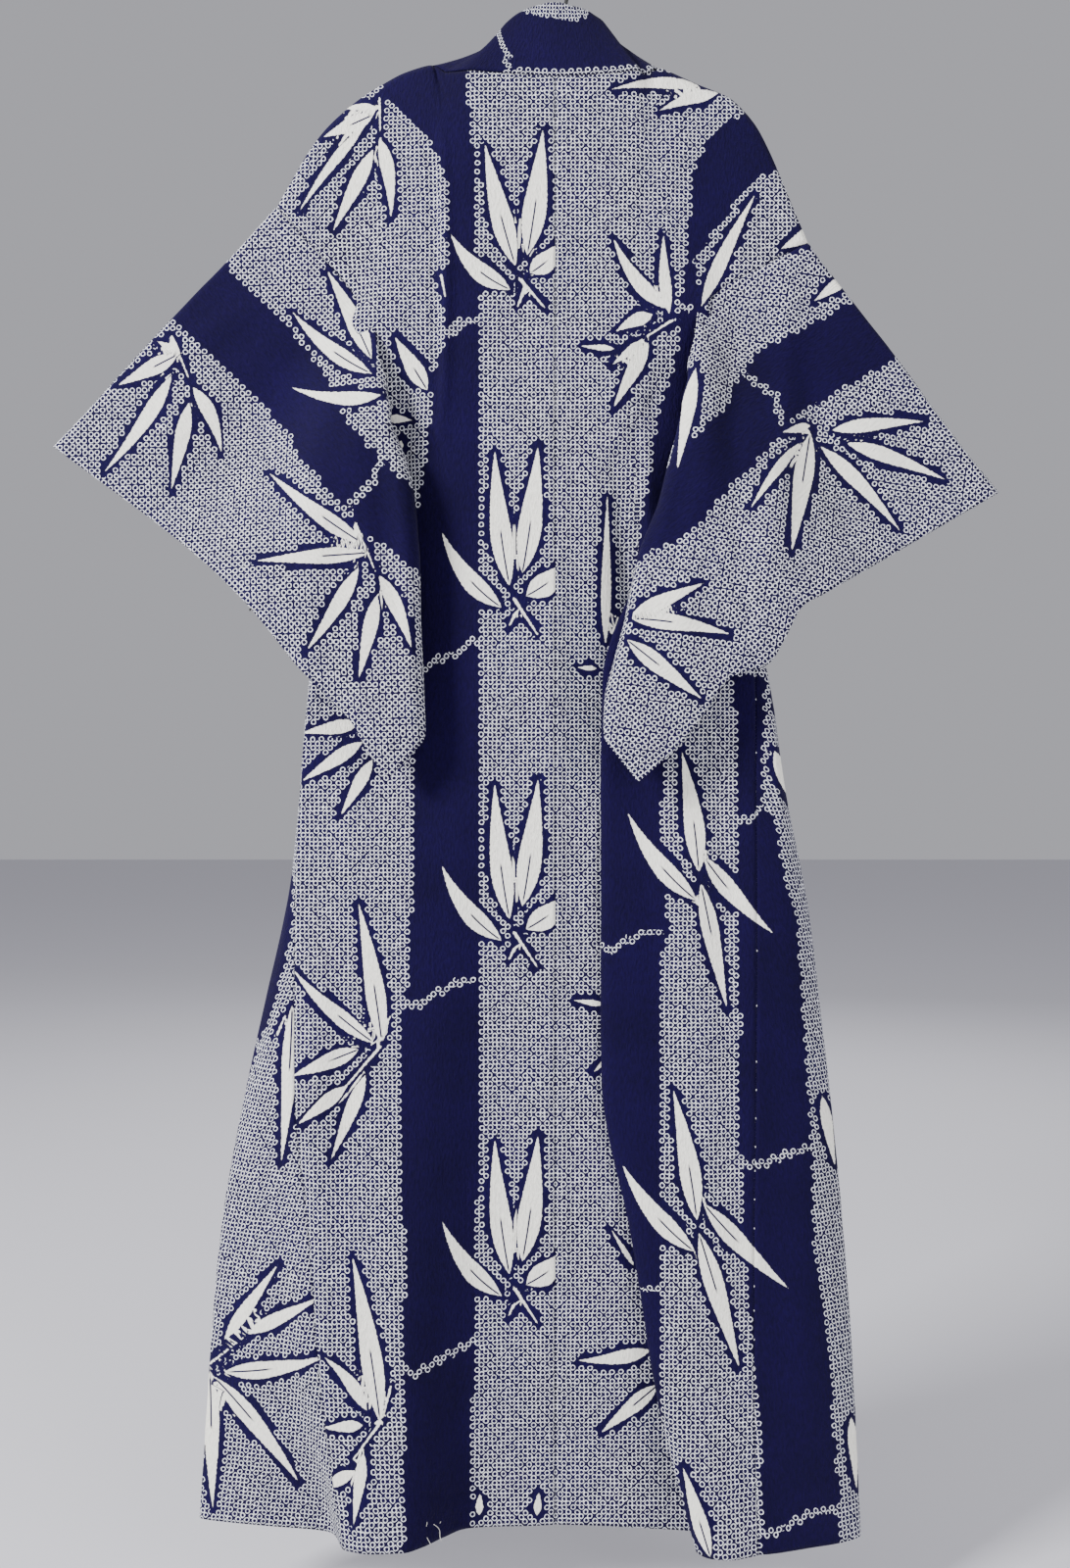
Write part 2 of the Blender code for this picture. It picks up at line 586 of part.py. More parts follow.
def overlap_grids(name, front, normals):
    """Okumi, the strip sewn to the front panel's inner edge, from that edge's own points."""
    sign = SIDES[name]["sign"]
    neck_x, neck_drop = front[0, 0, 0], NECK_Z - front[0, 0, 2]
    column = [p for p in zip(front[:, 0], normals[:, 0]) if NECK_Z - p[0][2] > OVERLAP_TOP]
    rows = []
    for k, (point, normal) in enumerate(column):
        rows.append((NECK_Z - point[2], point, normal))
        if k + 1 < len(column):
            below = NECK_Z - column[k + 1][0][2]
            here = NECK_Z - point[2]
            if here <= COLLAR_END < below:
                share = (COLLAR_END + 1.5 - here) / (below - here)
                middle = point + (column[k + 1][0] - point) * share
                rows.append((COLLAR_END + 1.5, middle, normal))
    grid = []
    for drop, point, normal in rows:
        x, y = overlap_edge(name, drop, neck_x, neck_drop)
        start = point + np.array((-sign * SEAM, 0, 0))
        stop = np.array((x, y, height(drop)))
        share = np.linspace(0, 1, OVERLAP_STEPS + 1)[:, None]
        line = start + (stop - start) * share
        line[:, 1] = start[1] + (stop[1] - start[1]) * ease(share[:, 0])
        grid.append(line)
    grid = np.array(grid)
    n = grid_normals(grid, (0, 1, 0))
    n[:, 0] = np.array([r[2] for r in rows])
    n[0] = n[0, 0]
    return grid, grid - n * CLOTH, n


def collar_path(name, back, front, overlap, nb, nf, no):
    """Seam of the collar from the centre back to its lower end, with the cloth's normals."""
    neck = NECK_COLUMN[name]
    points = [p for p in back[0, : neck + 1]]
    normals = [n for n in nb[0, : neck + 1]]
    for point, normal in zip(front[1:, 0], nf[1:, 0]):
        if NECK_Z - point[2] < OVERLAP_TOP:
            points.append(point)
            normals.append(normal)
    for point, normal in zip(overlap[:, -1], no[:, -1]):
        if NECK_Z - point[2] <= COLLAR_END + 0.5:
            points.append(point)
            normals.append(normal)
    return np.array(points), np.array(normals)


def collar_half(name, path, normals):
    """Outer and inner grids of half the collar band, from its seam to its free edge."""
    sign = SIDES[name]["sign"]
    seam = np.concatenate([[0], np.cumsum(np.linalg.norm(np.diff(path, axis=0), axis=1))])
    way = np.stack(
        [
            -sign * pchip(BAND_WAY["seam"], BAND_WAY["inward"], seam),
            pchip(BAND_WAY["seam"], BAND_WAY["y"], seam),
            pchip(BAND_WAY["seam"], BAND_WAY["up"], seam),
        ],
        axis=-1,
    )
    clear = way / np.linalg.norm(way, axis=-1, keepdims=True) * COLLAR_GAP
    share = np.linspace(0, 1, BAND_STEPS + 1)[None, :, None]
    grid = path[:, None] + clear[:, None] + (way - clear)[:, None] * share
    n = grid_normals(grid, (0, 1, 0))
    n[:, 0] = normals
    n[0] = unit(n[0] * (0, 1, 1))
    return grid, grid - n * COLLAR


def tube(name, points, radius, mat):
    """A round bar along a line of points."""
    curve = bpy.data.curves.new(name, "CURVE")
    curve.dimensions = "3D"
    curve.bevel_depth = radius * MM
    curve.bevel_resolution = 2
    curve.use_fill_caps = True
    line = curve.splines.new("POLY")
    line.points.add(len(points) - 1)
    for place, point in zip(line.points, points):
        place.co = (*(np.asarray(point, float) * MM), 1.0)
    obj = bpy.data.objects.new(name, curve)
    bpy.context.scene.collection.objects.link(obj)
    curve.materials.append(mat)
    return obj


# The bar between the collar's sides, and how far out it carries the shoulders.
BAR_MIDDLE = ((-128, -148), (-105, -146), (-62, -138), (0, -132), (50, -137), (85, -147), (112, -151))
BAR_START = {"left": 150.0, "right": 140.0}
BAR_END = {"left": 226.0, "right": 210.0}
HOOK_STEM = ((5, -126.7), (8, -85), (11, -62), (14, -46))
HOOK_TURN = (-48, 212)


def bar_points(name, ridge):
    """Centre of the bar's arm, one ridge radius inside the cloth that lies over it."""
    along = even_tangent(ridge)
    down = unit(np.cross(along * (1, 0, 1), (0, 1, 0)))
    down = np.where(down[:, 2:] > 0, -down, down)
    centre = ridge + down * RIDGE
    return [p for p in centre if BAR_START[name] < abs(p[0]) < BAR_END[name]]


halves = {}
arms = {}
for name, side in SIDES.items():
    back, back_in, front, front_in, nb, nf = body_panel(name)
    wall("body_" + name, [(back, back_in), (front, front_in)], COTTON_LIGHT)
    outer, inner = sleeve_layers(side)
    wall("sleeve_" + name, [(outer, inner)], COTTON)
    strip, strip_in, no = overlap_grids(name, front, nf)
    wall("overlap_" + name, [(strip, strip_in)], COTTON)
    path, normals = collar_path(name, back, front, strip, nb, nf, no)
    halves[name] = collar_half(name, path, normals)
    arms[name] = bar_points(name, back[0, NECK_COLUMN[name]:])

collar = []
for layer in (0, 1):
    left, right = halves["left"][layer], halves["right"][layer]
    middle = (left[:1] + right[:1]) / 2 * (0, 1, 1)
    collar.append(np.concatenate([left[:0:-1], middle, right[1:]]))
wall("collar", [tuple(collar)], NAVY)

bar = arms["left"][::-1] + [np.array((x, 0.0, z)) for x, z in BAR_MIDDLE] + arms["right"]
bar = np.array([p * (1, 0, 1) for p in bar])
tube("hanger_bar", bar, BAR_RADIUS, HANGER)
turn = np.radians(np.linspace(*HOOK_TURN, 19))
bend = [(HOOK_RADIUS * math.cos(t), 0, HOOK_RADIUS * math.sin(t) - HOOK_RADIUS + WIRE_RADIUS) for t in turn]
stem = [(x, 0, z) for x, z in HOOK_STEM]
tube("hanger_hook", stem + bend, WIRE_RADIUS, STEEL)
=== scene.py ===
"""A cotton yukata hung by its shoulders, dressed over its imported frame.

The back of the robe faces -Y.  Lengths are in millimetres until a mesh is made.
"""
import math

import bmesh
import bpy
import numpy as np
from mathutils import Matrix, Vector


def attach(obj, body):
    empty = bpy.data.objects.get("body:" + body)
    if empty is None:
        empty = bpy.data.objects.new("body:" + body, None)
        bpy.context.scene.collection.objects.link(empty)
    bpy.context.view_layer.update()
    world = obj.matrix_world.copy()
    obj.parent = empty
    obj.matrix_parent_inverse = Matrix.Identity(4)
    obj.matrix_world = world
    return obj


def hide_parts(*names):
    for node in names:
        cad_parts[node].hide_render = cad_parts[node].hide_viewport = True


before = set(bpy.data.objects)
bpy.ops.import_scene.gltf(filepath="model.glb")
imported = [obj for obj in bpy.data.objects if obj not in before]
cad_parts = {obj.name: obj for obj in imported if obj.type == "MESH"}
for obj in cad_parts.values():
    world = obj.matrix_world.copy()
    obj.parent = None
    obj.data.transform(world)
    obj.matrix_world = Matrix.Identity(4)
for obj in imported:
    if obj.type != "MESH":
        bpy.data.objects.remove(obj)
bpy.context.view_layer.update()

# Sleeves (sode).
# Each is one width of dyed cotton crepe folded over at the top, seamed at the bottom and
# sewn to the body along the armhole.  Its wrist edge is open above a bar tack.
MM = 0.001
CLOTH = 2.0            # thickness of one cloth wall
COLLAR = 2.2           # the collar band is folded double
SEAM = 0.3             # gap that parts two pieces at a seam
NECK_Z = -142.0        # height of the neck seam below the inside of the hook
BACK_Y = -20.0         # plane of the centre back
HEM = 1476.0           # drop of the hem at the centre back
RIDGE = 8.3            # outer radius of the cloth where it goes over the shoulder
SLEEVE_WIDTH = 330.0   # wrist to armhole along the top fold
SLEEVE_DROP = 490.0    # top fold to bottom seam
FOLD_RADIUS = 12.0     # bend where a sleeve's inner part turns behind
FOLD_SHRINK = 0.62     # how far the part behind spreads sideways, it hangs in soft waves
SLEEVE_LIFT = 50.0     # how far the lower sleeve hangs in front of the shoulder line
SEWN_HALF = 2.7        # half the outer thickness where two walls are sewn together
BAND = 55.0            # width of the collar band down the fronts
COLLAR_END = 620.0     # drop of the collar's lower ends
SLIT_END = 400.0       # drop where the slit under the arm ends and the side seam starts


def height(drop):
    return NECK_Z - drop


def pchip(xs, ys, x):
    """A smooth curve through the points of a table that never overshoots them."""
    xs = np.asarray(xs, float)
    ys = np.asarray(ys, float)
    step = np.diff(xs)
    slope = np.diff(ys, axis=0) / step.reshape(-1, *([1] * (ys.ndim - 1)))
    inner = np.zeros_like(ys)
    left, right = slope[:-1], slope[1:]
    same = left * right > 0
    inner[1:-1][same] = 2 * left[same] * right[same] / (left[same] + right[same])
    inner[0], inner[-1] = slope[0], slope[-1]
    x = np.clip(np.asarray(x, float), xs[0], xs[-1])
    i = np.clip(np.searchsorted(xs, x, side="right") - 1, 0, len(xs) - 2)
    t = (x - xs[i]) / step[i]
    extra = [1] * (ys.ndim - 1)
    t = np.reshape(t, (*np.shape(t), *extra))
    h = np.reshape(step[i], np.shape(t))
    return (
        ys[i] * (1 + 2 * t) * (1 - t) ** 2
        + inner[i] * h * t * (1 - t) ** 2
        + ys[i + 1] * t * t * (3 - 2 * t)
        + inner[i + 1] * h * t * t * (t - 1)
    )


def spread(counts):
    """Positions along a table's index, with so many steps in each of its intervals."""
    out = [0.0]
    for i, n in enumerate(counts):
        out += [i + (k + 1) / n for k in range(n)]
    return np.array(out)


def unit(v):
    return v / np.maximum(np.linalg.norm(v, axis=-1, keepdims=True), 1e-9)


def even_tangent(points):
    """The direction of each line of points, the mean of the steps before and after a point."""
    steps = unit(np.diff(points, axis=0))
    return unit(np.concatenate([steps[:1], steps[:-1] + steps[1:], steps[-1:]]))


def grid_normals(points, outward):
    """Unit normals of a grid of points, on the side that outward points to where the grid starts."""
    down = even_tangent(points)
    across = even_tangent(points.swapaxes(0, 1)).swapaxes(0, 1)
    n = unit(np.cross(across, down))
    first = n[n.shape[0] // 2, 0]
    return n if first @ np.array(outward, float) > 0 else -n


def fine_grids(grids, pitch):
    """The same grids with rows and columns evenly spaced, about pitch apart."""
    for axis in (0, 1):
        steps = np.linalg.norm(np.diff(grids[0], axis=axis), axis=-1).mean(axis=1 - axis)
        along = np.concatenate([[0], np.cumsum(np.maximum(steps, 0.01))])
        even = np.linspace(0, along[-1], max(int(round(along[-1] / pitch[axis])), 2) + 1)
        grids = [pchip(along, grid.swapaxes(0, axis), even).swapaxes(0, axis) for grid in grids]
    return grids


def laid_grid(bm, points):
    """Blender's grid with its points put where the cloth lies."""
    rows, columns = points.shape[:2]
    made = bmesh.ops.create_grid(bm, x_segments=columns - 1, y_segments=rows - 1, size=1.0)
    verts = sorted(made["verts"], key=lambda v: (round(v.co.y, 6), round(v.co.x, 6)))
    for vert, point in zip(verts, points.reshape(-1, 3)):
        vert.co = point * MM
    return verts


def cloth_wall(name, outer, inner, uv, fields):
    """A closed thin shell from an outer and an inner grid, with the dye's fields on its points."""
    bm = bmesh.new()
    layers = {key: bm.verts.layers.float_vector.new(key) for key in fields}
    place = bm.verts.layers.float_vector.new("place")
    sides = [laid_grid(bm, outer), laid_grid(bm, inner)]
    flat = uv.reshape(-1, 2)
    for verts in sides:
        for k, vert in enumerate(verts):
            vert[place] = (flat[k, 0], flat[k, 1], 0.0)
        for key, layer in layers.items():
            for vert, value in zip(verts, fields[key].reshape(-1, 3)):
                vert[layer] = value
    twin = dict(zip(*sides))
    rim = [e for e in bm.edges if e.is_boundary and e.verts[0] in twin]
    edges = []
    for edge in rim:
        a, b = edge.verts
        edges.append(bm.faces.new((b, a, twin[a], twin[b])))
    bmesh.ops.recalc_face_normals(bm, faces=bm.faces)
    if bm.calc_volume(signed=True) < 0:
        bmesh.ops.reverse_faces(bm, faces=bm.faces)
    cloth_uv = bm.loops.layers.uv.new("cloth")
    for face in bm.faces:
        face.smooth = True
        for loop in face.loops:
            loop[cloth_uv].uv = loop.vert[place].xy * MM
    for face in edges:
        face.smooth = False
    bm.verts.layers.float_vector.remove(bm.verts.layers.float_vector["place"])
    mesh = bpy.data.meshes.new(name)
    bm.to_mesh(mesh)
    bm.free()
    piece = bpy.data.objects.new(name, mesh)
    bpy.context.scene.collection.objects.link(piece)
    return piece


VIEW_SPAN = 1400.0      # distance from which the pattern's places were measured
VIEW_SPOT = (-21.0, -870.0)
VIEW_ZERO = (546.0, 800.0)


def seen(points):
    """Where a point shows on the hanging robe, in millimetres from the left and from the top."""
    near = VIEW_SPAN / (VIEW_SPAN + points[..., 1] - BACK_Y)
    x = VIEW_ZERO[0] + (points[..., 0] - VIEW_SPOT[0]) * near
    drop = VIEW_ZERO[1] - (points[..., 2] - VIEW_SPOT[1]) * near
    return x, drop


FAR = 60.0


def leaf_field(x, y, leaves):
    """The nearest leaf left white at each point.

    Its distance, less than zero inside it, how far the point is to one side of its midrib, half
    its width there (less than zero past its ends), and 1 where the midrib shows.
    """
    nearest = np.full(x.shape, FAR)
    off_rib = np.full(x.shape, FAR)
    half_width = np.full(x.shape, -FAR)
    ribbed = np.zeros(x.shape)
    for base_x, base_y, tip_x, tip_y, width, bend in leaves:
        way = np.array((tip_x - base_x, tip_y - base_y), float)
        length = np.linalg.norm(way)
        way /= length
        along = (x - base_x) * way[0] + (y - base_y) * way[1]
        side = (y - base_y) * way[0] - (x - base_x) * way[1]
        t = np.clip(along / length, 0, 1)
        side = side - bend * 4 * t * (1 - t)
        past = np.abs(along - t * length)
        low = np.clip((0.36 - t) / 0.36, 0, 1)
        high = np.clip((t - 0.36) / 0.64, 0, 1)
        half = width / 2 * (1 - low ** 2.2 - high ** 1.3)
        if width < 5:
            half = width * 0.42 * (1 - 0.6 * t)
        half = np.where(past > 1e-9, -past, half)
        distance = np.where(past > 1e-9, np.hypot(past, side), np.abs(side) - half)
        closer = distance < nearest
        nearest = np.where(closer, distance, nearest)
        off_rib = np.where(closer, side, off_rib)
        half_width = np.where(closer, half, half_width)
        ribbed = np.where(closer, (width >= 16) & (t > 0.03) & (t < 0.42), ribbed)
    return nearest, off_rib, half_width, ribbed


def dots_field(x, y, bands):
    """Distance from the nearest plain navy band, less than zero inside it.

    A band is a list of rows: how far down, its left edge and its right edge.
    """
    nearest = np.full(x.shape, FAR)
    for band in bands:
        down, left, right = zip(*band)
        start = np.interp(y, down, left)
        stop = np.interp(y, down, right)
        nearest = np.minimum(nearest, np.maximum(start - x, x - stop))
    return nearest


def chain_field(x, y, chains):
    """Distance to the nearest single row of rings."""
    nearest = np.full(x.shape, FAR)
    for chain in chains:
        for (x0, y0), (x1, y1) in zip(chain, chain[1:]):
            run = np.array((x1 - x0, y1 - y0), float)
            share = np.clip(((x - x0) * run[0] + (y - y0) * run[1]) / (run @ run), 0, 1)
            nearest = np.minimum(nearest, np.hypot(x - x0 - share * run[0], y - y0 - share * run[1]))
    return nearest


def with_slope(field, uv):
    """A field and its slope along the cloth's own two directions, for the points between."""
    rows = [np.gradient(part, axis=0) for part in (uv[..., 0], uv[..., 1], field)]
    lines = [np.gradient(part, axis=1) for part in (uv[..., 0], uv[..., 1], field)]
    area = rows[0] * lines[1] - rows[1] * lines[0]
    area = np.where(np.abs(area) < 0.05, 1e9, area)
    slope_u = (rows[2] * lines[1] - rows[1] * lines[2]) / area
    slope_v = (rows[0] * lines[2] - rows[2] * lines[0]) / area
    return np.stack([field, np.clip(slope_u, -1.5, 1.5), np.clip(slope_v, -1.5, 1.5)], axis=-1)


def dyed(uv, leaf, dots, chain):
    """The fields of the dye as the mesh's points carry them."""
    nearest, off_rib, half_width, ribbed = leaf
    return {
        "leaf": with_slope(nearest, uv),
        "dots": with_slope(dots, uv),
        "chain": with_slope(chain, uv),
        "form": np.stack([off_rib, half_width, ribbed], axis=-1),
    }


def shifted(rows, right, down):
    """The same pattern in another place: of a row's numbers the first four are two points."""
    return [(x0 + right, y0 + down, x1 + right, y1 + down, *rest) for x0, y0, x1, y1, *rest in rows]


def crease_height(x, y, creases):
    """Soft ridges and troughs of the hanging cloth, each from one end to the other."""
    height_here = np.zeros(x.shape)
    for x0, y0, x1, y1, width, rise in creases:
        way = np.array((x1 - x0, y1 - y0), float)
        length = np.linalg.norm(way)
        way /= length
        along = ((x - x0) * way[0] + (y - y0) * way[1]) / length
        side = (y - y0) * way[0] - (x - x0) * way[1]
        side = side - width * 0.5 * np.sin(along * 5 + x0)
        fade = ease(along / 0.3) * ease((1 - along) / 0.3)
        height_here += 1.5 * rise * np.exp(-((side / width) ** 2)) * fade
    waves = np.sin(x / 31 + np.sin(y / 83) * 1.7) * np.sin(y / 127 + x / 90)
    small = np.sin(x / 11.3 + y / 37 + 1.3 * np.sin(y / 29)) * np.sin(y / 17.9 - x / 53)
    return height_here + 0.7 * waves + 0.22 * small


def creased(outer, inner, creases, sewn, outward=(0, -1, 0)):
    """Both faces of a wall moved along its normals by its creases, which fade at sewn edges."""
    x, y = seen(outer)
    rise = crease_height(x, y, creases)
    rows, columns = np.indices(outer.shape[:2])
    steps = np.linalg.norm(np.diff(outer, axis=1), axis=-1).mean()
    down = np.linalg.norm(np.diff(outer, axis=0), axis=-1).mean()
    gaps = {
        "left": columns * steps,
        "right": (outer.shape[1] - 1 - columns) * steps,
        "top": rows * down,
        "bottom": (outer.shape[0] - 1 - rows) * down,
    }
    for edge in sewn:
        rise = rise * ease(gaps[edge] / 14) - 0.9 * (1 - ease(gaps[edge] / 4.5))
    way = unit(outer - inner)
    return outer + way * rise[..., None], inner + way * rise[..., None]


def linear(hex_colour):
    """An sRGB hex colour as the linear values that shaders take."""
    values = [int(hex_colour[i : i + 2], 16) / 255 for i in (1, 3, 5)]
    return (*[v / 12.92 if v <= 0.04045 else ((v + 0.055) / 1.055) ** 2.4 for v in values], 1.0)


def add(tree, kind, inputs=None, **settings):
    """A node with its settings and its inputs, each a value or another node's socket."""
    made = tree.nodes.new(kind)
    for key, value in settings.items():
        setattr(made, key, value)
    for key, value in (inputs or {}).items():
        if isinstance(value, bpy.types.Node):
            value = value.outputs[0]
        if isinstance(value, bpy.types.NodeSocket):
            tree.links.new(value, made.inputs[key])
        else:
            made.inputs[key].default_value = value
    return made


def blank(name):
    mat = bpy.data.materials.new(name)
    mat.use_nodes = True
    mat.node_tree.nodes.clear()
    return mat, mat.node_tree


RING_PITCH = 6.3        # from one ring to the next across the slanted rows of tied dots
RING_OUT = 2.8
RING_IN = 1.75
LEAF_RIM = 5.2          # navy left round each white leaf
NAVY = "#0B022E"
GROUND = "#0D0433"
RING = "#F6F8FF"
WHITE = "#FCFAF0"


def shibori_cotton():
    """Tie-dyed cotton crepe: whole white rings on indigo, plain navy bands, white leaves.

    The crepe's puckers and the raised rings scatter the light, so it is matt with a soft nap. The shade of the
    crepe's puckers is also painted into the colour, darker in their hollows and lighter on their ridges.
    """
    mat, tree = blank("shibori_cotton")
    cloth = add(tree, "ShaderNodeUVMap", uv_map="cloth")
    turned = add(
        tree, "ShaderNodeMapping",
        {"Vector": cloth, "Rotation": (0, 0, math.pi / 4), "Scale": (1 / (RING_PITCH * MM),) * 3},
    )
    cell = add(tree, "ShaderNodeVectorMath", {0: turned}, operation="FLOOR")
    share = add(tree, "ShaderNodeVectorMath", {0: turned, 1: cell}, operation="SUBTRACT")
    middle = add(tree, "ShaderNodeVectorMath", {0: share, 1: (0.5, 0.5, 0)}, operation="SUBTRACT")
    chance = add(tree, "ShaderNodeTexWhiteNoise", {"Vector": cell}, noise_dimensions="3D")
    loose = add(
        tree, "ShaderNodeVectorMath", {0: chance.outputs["Color"], 1: (0.5, 0.5, 0.5)},
        operation="SUBTRACT",
    )
    nudge = add(tree, "ShaderNodeVectorMath", {0: loose, 1: (0.13, 0.13, 0)}, operation="MULTIPLY")
    spot = add(tree, "ShaderNodeVectorMath", {0: middle, 1: nudge}, operation="ADD")
    wobble = add(
        tree, "ShaderNodeTexNoise", {"Vector": cloth, "Scale": 260.0, "Detail": 1.0}
    )
    uneven = add(tree, "ShaderNodeMapRange", {0: wobble, 1: 0.25, 2: 0.75, 3: 0.84, 4: 1.16})
    span = add(tree, "ShaderNodeVectorMath", {0: spot}, operation="LENGTH").outputs["Value"]
    reach = add(tree, "ShaderNodeMath", {0: span, 1: uneven}, operation="MULTIPLY")
    outside = add(
        tree, "ShaderNodeMapRange",
        {0: reach, 1: (RING_OUT - 0.25) / RING_PITCH, 2: (RING_OUT + 0.15) / RING_PITCH, 3: 1, 4: 0},
        interpolation_type="SMOOTHSTEP",
    )
    inside = add(
        tree, "ShaderNodeMapRange",
        {0: reach, 1: (RING_IN - 0.2) / RING_PITCH, 2: (RING_IN + 0.2) / RING_PITCH, 3: 0, 4: 1},
        interpolation_type="SMOOTHSTEP",
    )
    ring = add(tree, "ShaderNodeMath", {0: outside, 1: inside}, operation="MULTIPLY")
    back = add(
        tree, "ShaderNodeVectorRotate", {"Vector": middle, "Angle": -math.pi / 4},
        rotation_type="Z_AXIS",
    )
    step = add(
        tree, "ShaderNodeVectorMath", {0: back, "Scale": -RING_PITCH}, operation="SCALE"
    )
    step_parts = add(tree, "ShaderNodeSeparateXYZ", {0: step})
    home = add(
        tree, "ShaderNodeCombineXYZ",
        {"X": 1.0, "Y": step_parts.outputs["X"], "Z": step_parts.outputs["Y"]},
    )
    at_ring = {}
    here = {}
    for key in ("leaf", "dots", "chain"):
        field = add(tree, "ShaderNodeAttribute", attribute_name=key).outputs["Vector"]
        at_ring[key] = add(
            tree, "ShaderNodeVectorMath", {0: field, 1: home}, operation="DOT_PRODUCT"
        ).outputs["Value"]
        here[key] = add(tree, "ShaderNodeSeparateXYZ", {0: field}).outputs["X"]
    in_dots = add(tree, "ShaderNodeMath", {0: at_ring["dots"], 1: 0.0}, operation="GREATER_THAN")
    in_chain = add(
        tree, "ShaderNodeMath", {0: at_ring["chain"], 1: 3.6}, operation="LESS_THAN"
    )
    off_leaf = add(
        tree, "ShaderNodeMath", {0: at_ring["leaf"], 1: LEAF_RIM}, operation="GREATER_THAN"
    )
    tied = add(tree, "ShaderNodeMath", {0: in_dots, 1: in_chain}, operation="MAXIMUM")
    tied = add(tree, "ShaderNodeMath", {0: tied, 1: off_leaf}, operation="MULTIPLY")
    ring = add(tree, "ShaderNodeMath", {0: ring, 1: tied}, operation="MULTIPLY")
    teeth = add(
        tree, "ShaderNodeTexNoise", {"Vector": cloth, "Scale": 330.0, "Detail": 1.0}
    )
    edge = add(
        tree, "ShaderNodeMath", {0: teeth, 1: 2.0, 2: -1.0}, operation="MULTIPLY_ADD"
    )
    form = add(tree, "ShaderNodeAttribute", attribute_name="form").outputs["Vector"]
    form = add(tree, "ShaderNodeSeparateXYZ", {0: form})
    off_rib = add(tree, "ShaderNodeMath", {0: form.outputs["X"]}, operation="ABSOLUTE")
    past_edge = add(
        tree, "ShaderNodeMath", {0: off_rib, 1: form.outputs["Y"]}, operation="SUBTRACT"
    )
    edge = add(tree, "ShaderNodeMath", {0: past_edge, 1: edge}, operation="ADD")
    white = add(
        tree, "ShaderNodeMapRange", {0: edge, 1: -0.35, 2: 0.35, 3: 1, 4: 0},
        interpolation_type="SMOOTHSTEP",
    )
    near = add(tree, "ShaderNodeMapRange", {0: here["leaf"], 1: 2.2, 2: 2.8, 3: 1, 4: 0})
    white = add(tree, "ShaderNodeMath", {0: white, 1: near}, operation="MULTIPLY")
    on_rib = add(tree, "ShaderNodeMapRange", {0: off_rib, 1: 0.6, 2: 1.1, 3: 1, 4: 0})
    on_rib = add(
        tree, "ShaderNodeMath", {0: on_rib, 1: form.outputs["Z"]}, operation="MULTIPLY"
    )
    off_rib = add(tree, "ShaderNodeMath", {0: 1.0, 1: on_rib}, operation="SUBTRACT")
    white = add(tree, "ShaderNodeMath", {0: white, 1: off_rib}, operation="MULTIPLY")
    grain = add(
        tree, "ShaderNodeMapping", {"Vector": cloth, "Scale": (420, 150, 1)}
    )
    crepe = add(
        tree, "ShaderNodeTexNoise",
        {"Vector": grain, "Scale": 1.0, "Detail": 3.0, "Roughness": 0.6, "Distortion": 0.4},
    )
    patches = add(
        tree, "ShaderNodeTexNoise", {"Vector": cloth, "Scale": 11.0, "Detail": 3.0}
    )
    ground = add(
        tree, "ShaderNodeMix", {0: in_dots, 6: linear(NAVY), 7: linear(GROUND)}, data_type="RGBA"
    ).outputs[2]
    tone = add(tree, "ShaderNodeMapRange", {0: patches, 1: 0.3, 2: 0.7, 3: 0.82, 4: 1.2})
    # painted shade: the crepe's height, which also drives the bump, darkens the ground in its hollows and
    # lightens it on its ridges; tone is the dye's uneven patches
    ridges = add(tree, "ShaderNodeMapRange", {0: crepe, 1: 0.35, 2: 0.65, 3: 0.8, 4: 1.25})
    dye_tone_and_painted_crepe_shade = add(tree, "ShaderNodeMath", {0: tone, 1: ridges}, operation="MULTIPLY")
    ground = add(
        tree, "ShaderNodeVectorMath", {0: ground, "Scale": dye_tone_and_painted_crepe_shade}, operation="SCALE"
    )
    dull = add(
        tree, "ShaderNodeMapRange", {0: chance.outputs["Value"], 3: 0.82, 4: 1.0}
    )
    pale = add(
        tree, "ShaderNodeVectorMath", {0: linear(RING)[:3], "Scale": dull}, operation="SCALE"
    )
    # painted shade: the same crepe height darkens the white leaves in its hollows
    painted_crepe_shade_on_white = add(tree, "ShaderNodeMapRange", {0: crepe, 1: 0.3, 2: 0.6, 3: 0.84, 4: 1.0})
    leaf_white = add(
        tree, "ShaderNodeVectorMath", {0: linear(WHITE)[:3], "Scale": painted_crepe_shade_on_white}, operation="SCALE"
    )
    colour = add(
        tree, "ShaderNodeMix", {0: ring, 6: ground, 7: pale}, data_type="RGBA"
    ).outputs[2]
    colour = add(
        tree, "ShaderNodeMix", {0: white, 6: colour, 7: leaf_white}, data_type="RGBA"
    ).outputs[2]
    puff = add(tree, "ShaderNodeMath", {0: ring, 1: 0.35, 2: crepe}, operation="MULTIPLY_ADD")
    bump = add(tree, "ShaderNodeBump", {"Height": puff, "Strength": 0.9, "Distance": 0.0018})
    cotton = add(
        tree, "ShaderNodeBsdfPrincipled",
        {"Base Color": colour, "Roughness": 0.88, "Normal": bump, "Specular IOR Level": 0.12,
         "Sheen Weight": 0.03, "Sheen Roughness": 0.5},
    )
    add(tree, "ShaderNodeOutputMaterial", {"Surface": cotton})
    return mat


SHIBORI = shibori_cotton()


